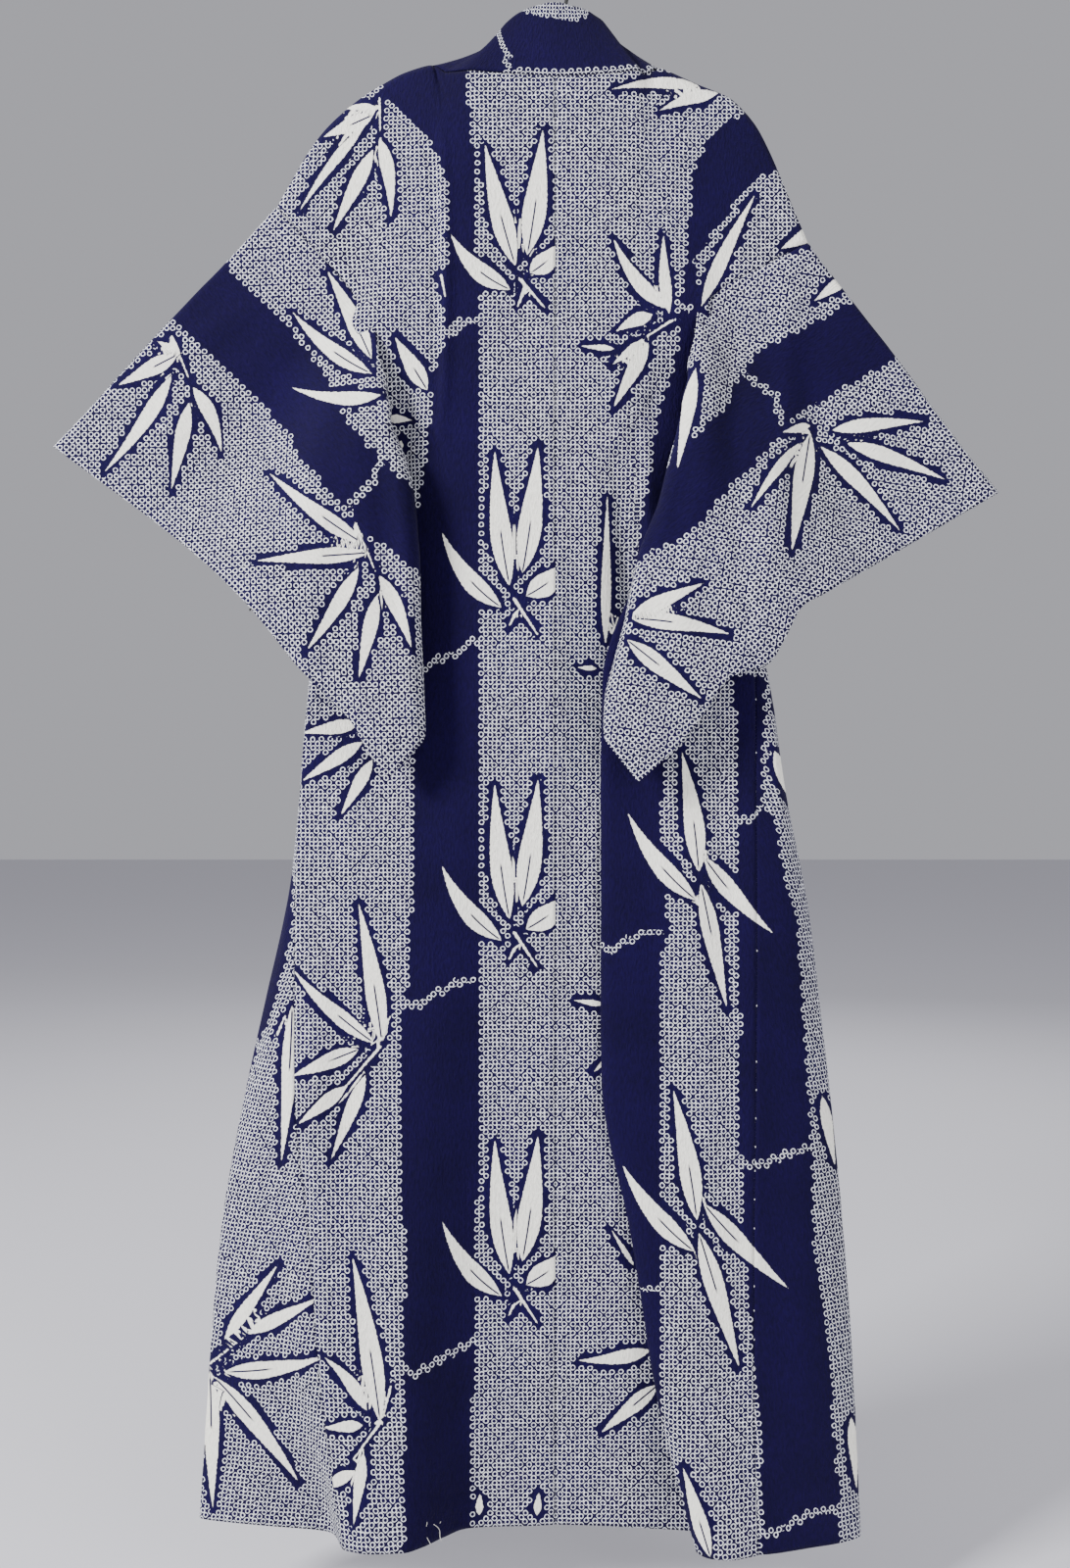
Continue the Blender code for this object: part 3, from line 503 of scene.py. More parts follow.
# Each side's tables.  A sleeve edge gives the way down from the top fold (cloth), then x and
# drop.  The fold line is where the sleeve's inner part turns behind.
SIDES = {
    "left": {
        "sign": -1,
        "mouth": 257,
        "wrist": {
            "cloth": (0, 205, 257, 345, 400, 450, 490),
            "x": (-519, -347, -304, -249, -211, -181, -166),
            "drop": (379, 511, 554, 621, 657, 706, 722),
        },
        "armhole": {"cloth": (0, 170, 210, 490), "x": (-288, -184, -176, 53), "drop": (131, 266, 304, 482)},
        "fold": {
            "drop": (240, 266, 327, 375, 406, 455, 494, 611, 693, 730),
            "x": (-187, -184, -174, -163, -157, -146, -142, -139, -130, -126),
        },
    },
    "right": {
        "sign": 1,
        "mouth": 248,
        "wrist": {
            "cloth": (0, 228, 248, 296, 345, 390, 443, 490),
            "x": (458, 251, 233, 224, 184, 156, 124, 82),
            "drop": (427, 548, 559, 604, 614, 647, 688, 726),
        },
        "armhole": {"cloth": (0, 140, 180, 490), "x": (262, 145, 138, -116), "drop": (169, 246, 284, 478)},
        "fold": {
            "drop": (220, 246, 304, 396, 433, 505, 579, 647, 712, 740),
            "x": (147, 145, 138, 120, 109, 85, 71, 51, 47, 46),
        },
    },
}


def edge_point(edge, cloth):
    x = pchip(edge["cloth"], edge["x"], cloth)
    drop = pchip(edge["cloth"], edge["drop"], cloth)
    return x, drop


def ease(t):
    t = np.clip(t, 0, 1)
    return t * t * (3 - 2 * t)


def sleeve_lift(side, cloth):
    """How far the middle of the sleeve lies towards the viewer of the back."""
    end = side["armhole"]["cloth"][1]
    return -SLEEVE_LIFT * ease((cloth - end + 60) / 170)


def half_gap(side, across, cloth):
    """Half the outer thickness of the sleeve, which is open at the wrist and the armhole."""
    end = side["armhole"]["cloth"][1]
    mouth = side["mouth"]
    near_arm = 3.2 * ease((across - 240) / 90) * ease((end - 15 - cloth) / 60)
    near_wrist = 5.0 * ease((70 - across) / 70) * ease(cloth / 60) * ease((mouth - cloth) / 90)
    sewn = ease((SLEEVE_DROP - cloth) / 40)
    wrist_seam = 1 - (1 - ease(across / 30)) * ease((cloth - mouth + 40) / 40)
    return SEWN_HALF + (2.4 + near_arm + near_wrist) * sewn * wrist_seam


def fold_spot(side, cloth):
    """Where a row of the sleeve meets the fold line, as a share of the way from wrist to furi."""
    wx, wd = edge_point(side["wrist"], cloth)
    fx, fd = edge_point(side["armhole"], cloth)
    low, high = 0.0, 1.0
    for _ in range(40):
        mid = (low + high) / 2
        x = wx + (fx - wx) * mid
        drop = wd + (fd - wd) * mid
        line = pchip(side["fold"]["drop"], side["fold"]["x"], drop)
        if (x - line) * -side["sign"] > -FOLD_RADIUS:
            high = mid
        else:
            low = mid
    return high


def sleeve_middle(side, share, cloth):
    """The sheet halfway between the sleeve's two layers, folded behind at the inner edge."""
    sign = -side["sign"]
    wx, wd = edge_point(side["wrist"], cloth)
    fx, fd = edge_point(side["armhole"], cloth)
    x = wx + (fx - wx) * share
    drop = wd + (fd - wd) * share
    line = pchip(side["fold"]["drop"], side["fold"]["x"], drop)
    past = (x - line) * sign + FOLD_RADIUS
    below = ease((cloth - side["armhole"]["cloth"][1]) / 45)
    turn = np.clip(past / FOLD_RADIUS, 0, math.pi)
    bent = line + sign * (
        -FOLD_RADIUS
        + FOLD_RADIUS * np.sin(turn)
        - FOLD_SHRINK * np.maximum(past - math.pi * FOLD_RADIUS, 0)
    )
    depth = FOLD_RADIUS * (1 - np.cos(turn))
    inside = past > 0
    x = np.where(inside, x + (bent - x) * below, x)
    y = sleeve_lift(side, cloth) + np.where(inside, depth * below, 0)
    return np.stack([x, y, height(drop)], axis=-1)


SLEEVE_COLUMNS = 16
ARC = (0.0, 30.0, 60.0, 90.0)
ARM_SHARES = (0.33, 0.66, 1.0)
SLEEVE_ROWS = (182, 195, 210, 230, 255, 290, 330, 370, 410, 445, 472, 490)


def column_share(side, cloth):
    """Shares of the row at which its columns stand, closer together on the bend."""
    even = np.linspace(0, 1, SLEEVE_COLUMNS + 1)
    spot = fold_spot(side, cloth)
    bend = math.pi * FOLD_RADIUS / SLEEVE_WIDTH
    spot = min(spot, 0.76)
    end = spot + bend
    close = np.interp(np.arange(SLEEVE_COLUMNS + 1), (0, 7, 12, SLEEVE_COLUMNS), (0, spot, end, 1))
    mix = ease((cloth - side["armhole"]["cloth"][1] + 20) / 80)
    return even + (close - even) * mix


def sleeve_fall(side, share):
    """The way the cloth falls from the sleeve's top fold."""
    step = sleeve_middle(side, share, 20.0) - sleeve_middle(side, share, 0.0)
    return unit(step * (1, 0, 1))


def sleeve_layers(side):
    """Rows of the sleeve from its bottom seam up the back, over the top fold and down the front."""
    end = side["armhole"]["cloth"][1]
    stretch = (SLEEVE_DROP - end) / (SLEEVE_DROP - 170)
    levels = [share * end for share in ARM_SHARES]
    levels += [end + (c - 170) * stretch for c in SLEEVE_ROWS]
    middles = np.array([sleeve_middle(side, column_share(side, c), c) for c in levels])
    normals = grid_normals(middles, (0, -1, 0))
    level = np.array(levels)
    across = np.array([column_share(side, c) for c in levels]) * SLEEVE_WIDTH
    normals[level <= end + 1, -1] = (0, -1, 0)
    normals[-1] = unit(normals[-1] * (1, 1, 0))
    gap = half_gap(side, across, level[:, None])[..., None]
    back_out = middles + normals * gap
    back_in = middles + normals * (gap - CLOTH)
    front_out = middles - normals * gap
    front_in = middles - normals * (gap - CLOTH)
    arc_out_back, arc_in_back, arc_out_front, arc_in_front = [], [], [], []
    top = sleeve_middle(side, column_share(side, 0.0), 0.0)
    down = sleeve_fall(side, column_share(side, 0.0))
    toward = np.array((0.0, -1.0, 0.0))
    first = half_gap(side, across[0], level[0])[..., None]
    for degrees in ARC:
        c, s = math.cos(math.radians(degrees)), math.sin(math.radians(degrees))
        out_b = top + down * first * (1 - c)
        in_b = top + down * (first - (first - CLOTH) * c)
        arc_out_back.append(out_b + toward * first * s)
        arc_in_back.append(in_b + toward * (first - CLOTH) * s)
        arc_out_front.append(out_b - toward * first * s)
        arc_in_front.append(in_b - toward * (first - CLOTH) * s)
    outer = np.concatenate([back_out[::-1], arc_out_back[::-1], arc_out_front[1:], front_out])
    inner = np.concatenate([back_in[::-1], arc_in_back[::-1], arc_in_front[1:], front_in])
    return outer, inner


THIN = 0.45             # share of the solid wall that the drawn cloth keeps


def sleeve_cloth(side):
    """For each point of the sleeve's grid: way from the wrist, way down the cloth, half gap."""
    end = side["armhole"]["cloth"][1]
    stretch = (SLEEVE_DROP - end) / (SLEEVE_DROP - 170)
    levels = [share * end for share in ARM_SHARES]
    levels += [end + (c - 170) * stretch for c in SLEEVE_ROWS]
    rows = []
    for level in levels:
        across = column_share(side, level) * SLEEVE_WIDTH
        rows.append(np.stack([across, across * 0 + level, half_gap(side, across, level)], axis=-1))
    level_rows = np.array(rows)
    top = column_share(side, 0.0) * SLEEVE_WIDTH
    round_top = []
    for degrees in ARC:
        down = top * 0 + math.radians(degrees) * 5
        round_top.append(np.stack([top, down, half_gap(side, top, 0.0)], axis=-1))
    round_top = np.array(round_top)
    turned = np.array((1, -1, 1))
    return np.concatenate(
        [level_rows[::-1], round_top[::-1], round_top[1:] * turned, level_rows * turned]
    )


def sleeve_lattice(side, outer, cloth):
    """Where each point lies on the tied rows, which run along the sleeve's top fold."""
    wx, wd = edge_point(side["wrist"], 0.0)
    fx, fd = edge_point(side["armhole"], 0.0)
    start = np.array((float(wx), height(float(wd))))
    way = np.array((float(fx), height(float(fd)))) - start
    way /= np.linalg.norm(way)
    down = np.array((way[1], -way[0])) * -side["sign"]
    flat = outer[..., [0, 2]] - start
    along = flat @ way
    fall = flat @ down
    steps = np.hypot(np.diff(along, axis=1), np.diff(outer[..., 1], axis=1))
    reach = along[:, :1] + np.concatenate([steps[:, :1] * 0, np.cumsum(steps, axis=1)], axis=1)
    return np.stack([reach, np.where(cloth[..., 1] < 0, -fall, fall)], axis=-1)


# A leaf is its base, its tip, its width and its bend, in millimetres from the left and the top
# of the hanging robe as it is seen from behind.
SLEEVE_LEAVES = {
    "left": (
        (379, 366, 334, 276, 18, 1.5), (379, 381, 299, 319, 17, -6), (389, 403, 297, 395, 14, -7),
        (181, 362, 121, 393, 17, 0), (184, 360, 160, 348, 8, 0), (175, 383, 107, 481, 15, -4),
        (193, 411, 175, 499, 15, 0), (197, 395, 226, 462, 14, -5), (175, 342, 193, 387, 3, 0),
        (373, 556, 275, 483, 17, -3), (377, 564, 262, 572, 16, 0), (366, 579, 313, 664, 15, -2),
        (385, 607, 366, 693, 15, 0), (387, 587, 420, 662, 15, -3), (362, 532, 383, 583, 3, 0),
    ),
    "right": (
        (849, 439, 943, 430, 14, -2), (864, 452, 964, 489, 15, -2), (838, 456, 918, 541, 15, -3),
        (827, 441, 808, 563, 20, 0), (816, 452, 766, 519, 10, 2), (827, 434, 799, 441, 9, 0),
        (645, 627, 718, 595, 15, 0), (644, 631, 745, 647, 17, -3), (640, 653, 716, 713, 18, 0),
        (710, 376, 691, 480, 14, 0), (866, 282, 831, 307, 12, 0), (842, 232, 797, 254, 15, 0),
    ),
}
SLEEVE_CHAINS = {
    "left": (((358, 515), (369, 505), (379, 493), (385, 477), (397, 456)),),
    "right": (((753, 375), (768, 388), (782, 397), (793, 406), (798, 437)),),
}
SLEEVE_BAND = (((-600, 177, 252), (600, 177, 252)),)
# A crease is its two ends, its width and its height.
SLEEVE_CREASES = {
    "left": (
        (372, 300, 262, 640, 22, 2.6), (330, 330, 170, 560, 30, -2.2), (390, 330, 395, 700, 14, -2.4),
        (250, 380, 110, 500, 24, 1.6), (345, 480, 300, 740, 16, 1.8), (120, 470, 240, 590, 20, -1.4),
        (410, 250, 430, 560, 12, 1.6), (300, 280, 80, 440, 18, 1.2),
    ),
    "right": (
        (795, 200, 793, 660, 16, 3.0), (760, 240, 752, 680, 14, -2.6), (850, 300, 900, 560, 26, 1.8),
        (930, 400, 970, 520, 22, -1.4), (720, 330, 700, 720, 15, 2.0), (680, 420, 640, 720, 13, -1.8),
        (830, 330, 860, 600, 15, -1.8), (880, 260, 1000, 470, 18, 1.2),
    ),
}

sewn_to = {}
for name, side in SIDES.items():
    outer, inner = sleeve_layers(side)
    outer, inner, cloth = fine_grids((outer, inner, sleeve_cloth(side)), (3.7, 3.5))
    inner = outer + (inner - outer) * THIN
    closed = 1 - np.clip((cloth[..., 2:] - SEWN_HALF) / 2.4, 0, 1)
    pulled = unit(inner - outer) * 1.7 * closed
    outer, inner = creased(outer + pulled, inner + pulled, SLEEVE_CREASES[name], ("right", "top", "bottom"))
    uv = sleeve_lattice(side, outer, cloth)
    x, y = seen(outer)
    fields = dyed(
        uv,
        leaf_field(x, y, SLEEVE_LEAVES[name]),
        dots_field(cloth[..., 0], cloth[..., 1], SLEEVE_BAND),
        chain_field(x, y, SLEEVE_CHAINS[name]),
    )
    sewn_to[name] = (outer, (x, y))
    sleeve = cloth_wall(name + "_sleeve", outer, inner, uv, fields)
    sleeve.data.materials.append(SHIBORI)
    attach(sleeve, "root")
    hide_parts("sleeve_" + name)

# Body (migoromo).
# Each half is one width of the same cloth that runs from the back hem over the shoulder to
# the front hem, sewn to its twin down the centre back and closed at the side below the slit.
# Rows of the robe's body from the shoulder to the hem.  Each key column holds, row by row,
# x, drop and how near it is to the viewer of the back, measured from the centre back.
LEFT_BACK = {
    "centre": ((0, 5, 0), (0, 60, 0), (0, 140, 0), (0, 225, 0), (0, 348, 0), (0, 478, 0), (0, 618, 0),
               (0, 740, 0), (0, 860, 0), (0, 1028, 0), (0, 1178, 0), (0, 1330, 0), (0, HEM, 0)),
    "stripe_in": ((-84, -1, -1), (-84, 58, 0), (-83, 140, 0), (-82, 226, 0), (-81, 348, 0), (-80, 478, 0),
                  (-79, 618, 0), (-78, 740, 0), (-77, 860, 1), (-77, 1028, 2), (-79, 1178, 3),
                  (-82, 1330, 5), (-86, HEM, 6)),
    "neck": ((-128.5, -15, -20), (-122, 46, -4), (-118, 134, -1), (-113, 228, 0), (-111, 348, -1),
             (-111, 478, -2), (-114, 618, -2), (-114, 740, 1), (-115, 860, 3), (-115, 1028, 7),
             (-113, 1178, 12), (-113, 1330, 18), (-115, HEM, 26)),
    "stripe_out": ((-184, 8, -20), (-168, 58, -6), (-158, 146, -3), (-146, 240, -1), (-141, 348, -6),
                   (-148, 478, -9), (-158, 618, -7), (-157, 740, 0), (-157, 860, 6), (-155, 1028, 13),
                   (-152, 1178, 22), (-150, 1330, 34), (-149, HEM, 52)),
    "mid": ((-240, 54, -20), (-212, 100, -9), (-188, 172, -7), (-165, 252, 0), (-149, 348, -12),
            (-171, 478, -15), (-208, 618, -10), (-212, 740, -3), (-214, 860, 5), (-212, 1028, 14),
            (-203, 1178, 24), (-195, 1330, 36), (-182, HEM, 54)),
}
RIGHT_BACK = {
    "centre": LEFT_BACK["centre"],
    "a": ((45, 3, 0), (44, 60, 0), (42, 140, 0), (40, 225, 0), (38, 348, 0), (40, 478, -2), (43, 618, -10),
          (43, 740, -9), (44, 860, -4), (44, 1028, -2), (60, 1178, 0), (75, 1330, 0), (85, HEM, 0)),
    "valley_1": ((86, -3, -4), (82, 57, -1), (75, 139, 0), (66, 226, 0), (60, 348, -1), (70, 478, -14),
                 (92, 618, -22), (92, 740, -20), (92, 860, -9), (92, 1028, -8), (112, 1178, -5),
                 (132, 1330, -3), (150, HEM, 2)),
    "neck": ((107, -12, -20), (98, 52, -5), (86, 138, -2), (75, 227, 0), (67, 348, -2), (77, 478, -13),
             (100, 618, -18.5), (100, 740, -16.5), (100, 860, -5), (100, 1028, -4), (120, 1178, -1),
             (141, 1330, 1), (161, HEM, 8)),
    "valley_3": ((119, -8, -20), (109, 54, -6), (95, 141, -3), (82, 229, 0), (73, 348, -3), (83, 478, -11.5),
                 (92, 618, -15), (92, 740, -13), (92, 860, -1), (92, 1028, 0), (113, 1178, 3),
                 (135, 1330, 6), (156, HEM, 15)),
    "ridge_1": ((150, 6, -20), (134, 66, -8), (116, 152, -5), (98, 232, 0), (84, 348, -6), (87, 478, -10),
                (62, 618, -15), (60, 740, -13), (58, 860, -1), (59, 1028, 0), (89, 1178, 4),
                (114, 1330, 10), (149, HEM, 24)),
    "ridge_2": ((165, 12, -20), (146, 73, -9), (126, 159, -6), (106, 235, 0), (90, 348, -7), (90, 478, -7),
                (48, 618, -10), (46, 740, -8), (45, 860, 4), (46, 1028, 6), (75, 1178, 12),
                (100, 1330, 20), (138, HEM, 38)),
    "ridge_3": ((180, 19, -20), (158, 82, -10), (136, 168, -7), (114, 238, 0), (93, 348, -8), (97, 478, -3),
                (60, 618, -5), (58, 740, -3), (57, 860, 10), (58, 1028, 13), (88, 1178, 20),
                (113, 1330, 30), (149, HEM, 50)),
    "stripe_out": ((208, 48, -20), (184, 112, -11), (158, 192, -9), (128, 242, 1), (103, 348, -12),
                   (124, 478, -11), (122, 618, -5), (114, 740, -3), (108, 860, 10), (106, 1028, 14),
                   (120, 1178, 22), (137, 1330, 32), (168, HEM, 52)),
}
# The outer edge of the back, which is the armhole down to the arm's end and then the side seam.
LEFT_SIDE = {"x": (-156, -190, -252, -262, -266, -265, -249, -235, -211),
             "near": (-17, -18, -12, -5, 3, 12, 20, 32, 46)}
RIGHT_SIDE = {"x": (114, 152, 206, 206, 205, 203, 200, 199, 201),
              "near": (-17, -17, -10, -6, 5, 12, 18, 26, 40)}
SIDE_DROPS = (348, 478, 618, 740, 860, 1028, 1178, 1330, HEM)

# The front, from the inner edge to the side: x, drop and y.
LEFT_FRONT = {
    "inner": ((-117, 50, 14), (-106, 140, 18), (-105, 228, 20), (-105, 348, 20), (-105, 478, 20),
              (-105, 618, 20), (-105, 740, 20), (-105, 860, 22), (-105, 1028, 22), (-105, 1178, 22),
              (-105, 1330, 24), (-105, HEM, 24)),
    "face": ((-168, 62, 13), (-150, 150, 16), (-138, 240, 15), (-125, 348, 18), (-135, 478, 18),
             (-160, 618, 20), (-170, 740, 22), (-180, 860, 25), (-195, 1028, 29), (-215, 1178, 34),
             (-228, 1330, 38), (-238, HEM, 40)),
    "turn": ((-212, 100, 11), (-188, 175, 12), (-165, 252, 6), (-145, 348, 16), (-178, 478, 15),
             (-245, 618, 15), (-257, 740, 11), (-281, 860, 8), (-318, 1028, 4), (-345, 1178, 0),
             (-358, 1330, -4), (-367, HEM, -6)),
    "step": ((-233, 130, 9), (-205, 197, 9), (-175, 259, -1), (-153, 348, 12), (-189, 478, 9),
             (-255, 618, 4), (-264, 740, -4), (-275, 860, -14), (-290, 1028, -23), (-285, 1178, -26),
             (-262, 1330, -34), (-227, HEM, -34)),
}
RIGHT_FRONT = {
    "inner": ((97, 50, 14), (90, 140, 17), (90, 228, 16), (88, 348, 15), (90, 478, 15), (92, 618, 14),
              (95, 740, 14), (95, 860, 14), (95, 1028, 14), (95, 1178, 16), (95, 1330, 18), (95, HEM, 18)),
    "face": ((140, 66, 13), (112, 152, 14), (104, 234, 11), (98, 348, 14), (112, 478, 16), (145, 618, 18),
             (155, 740, 22), (165, 860, 26), (170, 1028, 30), (180, 1178, 34), (185, 1330, 36),
             (190, HEM, 36)),
    "turn": ((184, 112, 10), (158, 192, 9), (128, 242, 2), (104, 348, 14), (138, 478, 15), (221, 618, 10),
             (240, 740, 8), (262, 860, 4), (282, 1028, 0), (297, 1178, -4), (306, 1330, -10),
             (311, HEM, -22)),
    "step": ((202, 150, 8), (170, 206, 8), (136, 244, -3), (110, 348, 12), (150, 478, 8), (219, 618, -3),
             (228, 740, -12), (236, 860, -16), (243, 1028, -22), (247, 1178, -28), (250, 1330, -38),
             (255, HEM, -46)),
}
BACK_STEPS = {"left": (3, 4, 2, 3, 3), "right": (2, 2, 4, 1, 2, 1, 1, 2, 3)}
NECK_COLUMN = {"left": 7, "right": 8}
# Where the back's neckline starts to climb over the hanger: x, drop and y.
NECK_TURN = {
    "left": ((-114, -4, -10.0), (-120, -9.5, -7.6), (-125, -13, -4.3)),
    "right": ((93, -1, -10.0), (99, -6.5, -7.6), (104, -10.5, -4.3)),
}
FRONT_STEPS = {"left": (3, 2, 2, 1), "right": (3, 3, 2, 2)}
ROW_STEPS = (1, 1, 1, 2, 1, 4, 1, 1, 2, 1, 2, 2)


def armhole_edge(side, layer):
    """Outer points of the armhole at the three levels above the arm's end, on the given layer's side."""
    end = side["armhole"]["cloth"][1]
    points = []
    for share in ARM_SHARES:
        cloth = share * end
        x, drop = edge_point(side["armhole"], cloth)
        y = sleeve_lift(side, cloth) + layer * half_gap(side, SLEEVE_WIDTH, cloth)
        points.append((float(x), float(drop), float(y)))
    return points


def table_grid(table, edge, steps):
    """A smooth grid through key columns and an edge column, row by row."""
    keys = list(table.values()) + [edge]
    cube = np.array(keys, float).transpose(1, 0, 2)
    columns = spread(steps)
    wide = np.array([pchip(range(len(keys)), row, columns) for row in cube])
    return wide


def down_rows(wide, steps):
    rows = spread(steps)
    return pchip(range(len(wide)), wide, rows)


def body_grids(name):
    """Outer points of one body panel: its back, and its front from the same shoulder line."""
    side = SIDES[name]
    table = LEFT_BACK if name == "left" else RIGHT_BACK
    front_table = LEFT_FRONT if name == "left" else RIGHT_FRONT
    seam = LEFT_SIDE if name == "left" else RIGHT_SIDE
    top_x, top_drop = edge_point(side["armhole"], 0.0)
    edge = [(float(top_x), float(top_drop), -20.0)]
    edge += [(x, drop, BACK_Y - y) for x, drop, y in armhole_edge(side, -1)]
    edge += [(x, drop, near) for x, drop, near in zip(seam["x"], SIDE_DROPS, seam["near"])]
    back = table_grid(table, edge, BACK_STEPS[name])
    back[..., 2] = BACK_Y - back[..., 2]
    turn = NECK_COLUMN[name] - len(NECK_TURN[name])
    back[0, turn : NECK_COLUMN[name]] = NECK_TURN[name]
    front_edge = list(armhole_edge(side, 1))
    front_edge += [(seam["x"][0], SIDE_DROPS[0], 6.0)]
    front_edge += [
        (x, drop, BACK_Y - near)
        for x, drop, near in list(zip(seam["x"], SIDE_DROPS, seam["near"]))[1:]
    ]
    front = table_grid(front_table, front_edge, FRONT_STEPS[name])
    neck = NECK_COLUMN[name]
    shoulder = back[0, neck:].copy()
    front = np.concatenate([shoulder[None], front])
    back, front = down_rows(back, ROW_STEPS), down_rows(front, ROW_STEPS)
    sewn = back[:, -1, 1] > SLIT_END
    front[sewn, -1] = back[sewn, -1]
    return back, front


def to_space(grid):
    """From x, drop, y to x, y, z."""
    return np.stack([grid[..., 0], grid[..., 2], height(grid[..., 1])], axis=-1)


def add_ridge(side, grid, start, direction):
    """Put the round of the shoulder between the top row of a grid and its next row.

    Columns from start on go over the shoulder; those before it end at the neck seam.
    """
    top = grid[0]
    along = np.gradient(top[start:], axis=0) * (1, 0, 1)
    down = unit(np.cross(along, (0, 1, 0)))
    down = np.where(down[:, 2:] > 0, -down, down)
    rows_out, rows_in = [], []
    down[-1] = sleeve_fall(side, 1.0)
    radius = RIDGE
    for degrees in ARC:
        c, s = math.cos(math.radians(degrees)), math.sin(math.radians(degrees))
        out = top.copy()
        inn = top.copy()
        out[start:] = top[start:] + down * radius * (1 - c) + np.array((0, direction, 0)) * radius * s
        inn[start:] = (
            top[start:] + down * (radius - (radius - CLOTH) * c)
            + np.array((0, direction, 0)) * (radius - CLOTH) * s
        )
        lower = 0.02 + 0.16 * degrees / 90
        out[:start] = top[:start] + (grid[1, :start] - top[:start]) * lower * (degrees > 0)
        rows_out.append(out)
        rows_in.append(inn)
    return np.array(rows_out), np.array(rows_in)


def body_panel(name):
    """Outer and inner grids of a panel's back and front, with seams parted."""
    side = SIDES[name]
    sign = side["sign"]
    back, front = body_grids(name)
    back, front = to_space(back), to_space(front)
    neck = NECK_COLUMN[name]
    ridge_b_out, ridge_b_in = add_ridge(side, back, neck, -1)
    ridge_f_out, ridge_f_in = add_ridge(side, front, 0, 1)
    back = np.concatenate([ridge_b_out, back[1:]])
    front = np.concatenate([ridge_f_out, front[1:]])
    nb = grid_normals(back, (0, -1, 0))
    nf = grid_normals(front, (0, 1, 0))
    nb[:, 0] = unit(nb[:, 0] * (0, 1, 1))
    arm_rows = len(ARC) + 3
    z_slit = height(SLIT_END)
    for i in range(len(back)):
        if i < arm_rows:
            nb[i, -1] = (0, -1, 0)
            nf[i, -1] = (0, 1, 0)
        elif back[i, -1, 2] < z_slit:
            across = unit((front[i, -2] - back[i, -2]) * (1, 1, 0))
            n = np.array((-across[1], across[0], 0.0))
            n = n if n[0] * sign > 0 else -n
            nb[i, -1] = nf[i, -1] = n
            back[i, -1] -= across * SEAM / 2
            front[i, -1] += across * SEAM / 2
    count = len(ARC)
    nb[:count, neck:] = unit(ridge_b_out - ridge_b_in)[:, neck:]
    nf[:count] = unit(ridge_f_out - ridge_f_in)
    back_in = back - nb * CLOTH
    front_in = front - nf * CLOTH
    back[:, 0, 0] = back_in[:, 0, 0] = sign * SEAM / 2
    shift = side_shift(side)
    for i in range(arm_rows):
        for grid in (back, back_in, front, front_in):
            grid[i, -1] += shift
    back_in[0, neck] = front_in[0, 0]
    return back, back_in, front, front_in, nb, nf


def side_shift(side):
    """The seam's gap at the armhole, from the sleeve towards the body."""
    wx, wd = edge_point(side["wrist"], 0.0)
    fx, fd = edge_point(side["armhole"], 0.0)
    way = unit(np.array((float(fx - wx), 0.0, float(wd - fd))))
    return way * SEAM


HUBS = (275, 605, 945, 1308)
HUB_X = 522
HUB_LEAVES = (
    (-2, -7, -17, -145, 22, -3), (11, -20, 27, -150, 24, 2), (-10, 15, -71, -62, 20, -8),
    (15, 3, 62, -34, 24, 3), (2, 5, 27, 43, 4, 0), (4, 21, -3, 35, 4, 0),
)
TOP_LEAVES = [
    (526, 271, 495, 147, 22, -2), (538, 260, 554, 132, 24, 2), (521, 295, 460, 239, 20, -8),
    (541, 278, 575, 246, 22, 3), (530, 283, 556, 314, 4, 0), (535, 295, 528, 313, 4, 0),
]
CENTRE_LEAVES = TOP_LEAVES + [
    leaf for hub in HUBS if hub > 300 for leaf in shifted(HUB_LEAVES, HUB_X, hub)
]
LEFT_LEAVES = CENTRE_LEAVES + [
    (390, 1067, 366, 922, 20, 2), (383, 1065, 299, 990, 16, -4), (366, 1071, 298, 1098, 17, 0),
    (353, 1109, 304, 1147, 14, 0), (373, 1097, 338, 1183, 14, 0), (388, 1068, 350, 1112, 3.5, 0),
    (397, 1038, 390, 1065, 3, 0), (388, 1452, 359, 1283, 22, 2), (374, 1440, 331, 1384, 13, 4),
    (370, 1455, 330, 1457, 12, 0), (362, 1501, 322, 1523, 13, 0), (371, 1482, 361, 1556, 12, 0),
    (388, 1452, 360, 1490, 3.5, 0), (399, 1415, 391, 1445, 3, 0), (367, 738, 308, 748, 14, 0),
    (370, 757, 308, 797, 14, 0), (380, 775, 348, 832, 13, 0), (381, 117, 330, 140, 16, 0),
    (386, 112, 350, 112, 8, 3), (371, 130, 306, 215, 10, 3), (381, 152, 340, 236, 15, 0),
    (387, 140, 399, 222, 14, -4), (387, 98, 388, 135, 3, 0), (436, 398, 403, 344, 18, 0),
    (397, 427, 421, 429, 9, 0), (411, 450, 404, 464, 9, 0), (450, 280, 455, 306, 3, 0),
    (548, 1546, 550, 1522, 8, 0), (489, 1546, 490, 1524, 8, 0),
]
RIGHT_INNER_LEAVES = [
    (681, 315, 626, 243, 15, -7), (683, 320, 677, 240, 12, -2), (666, 321, 629, 338, 14, 2),
    (627, 356, 593, 353, 6, 0), (657, 347, 625, 372, 9, 0), (662, 349, 626, 416, 15, 0),
    (687, 326, 648, 351, 3, 0), (714, 88, 625, 91, 12, 5), (733, 95, 673, 113, 13, 3),
    (716, 312, 771, 198, 14, -2), (842, 230, 797, 254, 16, 0), (618, 657, 620, 506, 10, 0),
    (624, 648, 631, 629, 3, 0), (609, 682, 590, 681, 5, 0), (616, 1025, 586, 1021, 6, 0),
    (622, 1078, 606, 1094, 5, 0), (647, 1292, 624, 1255, 5, 0), (664, 1378, 590, 1388, 14, -3),
    (672, 1413, 613, 1462, 16, 0),
]
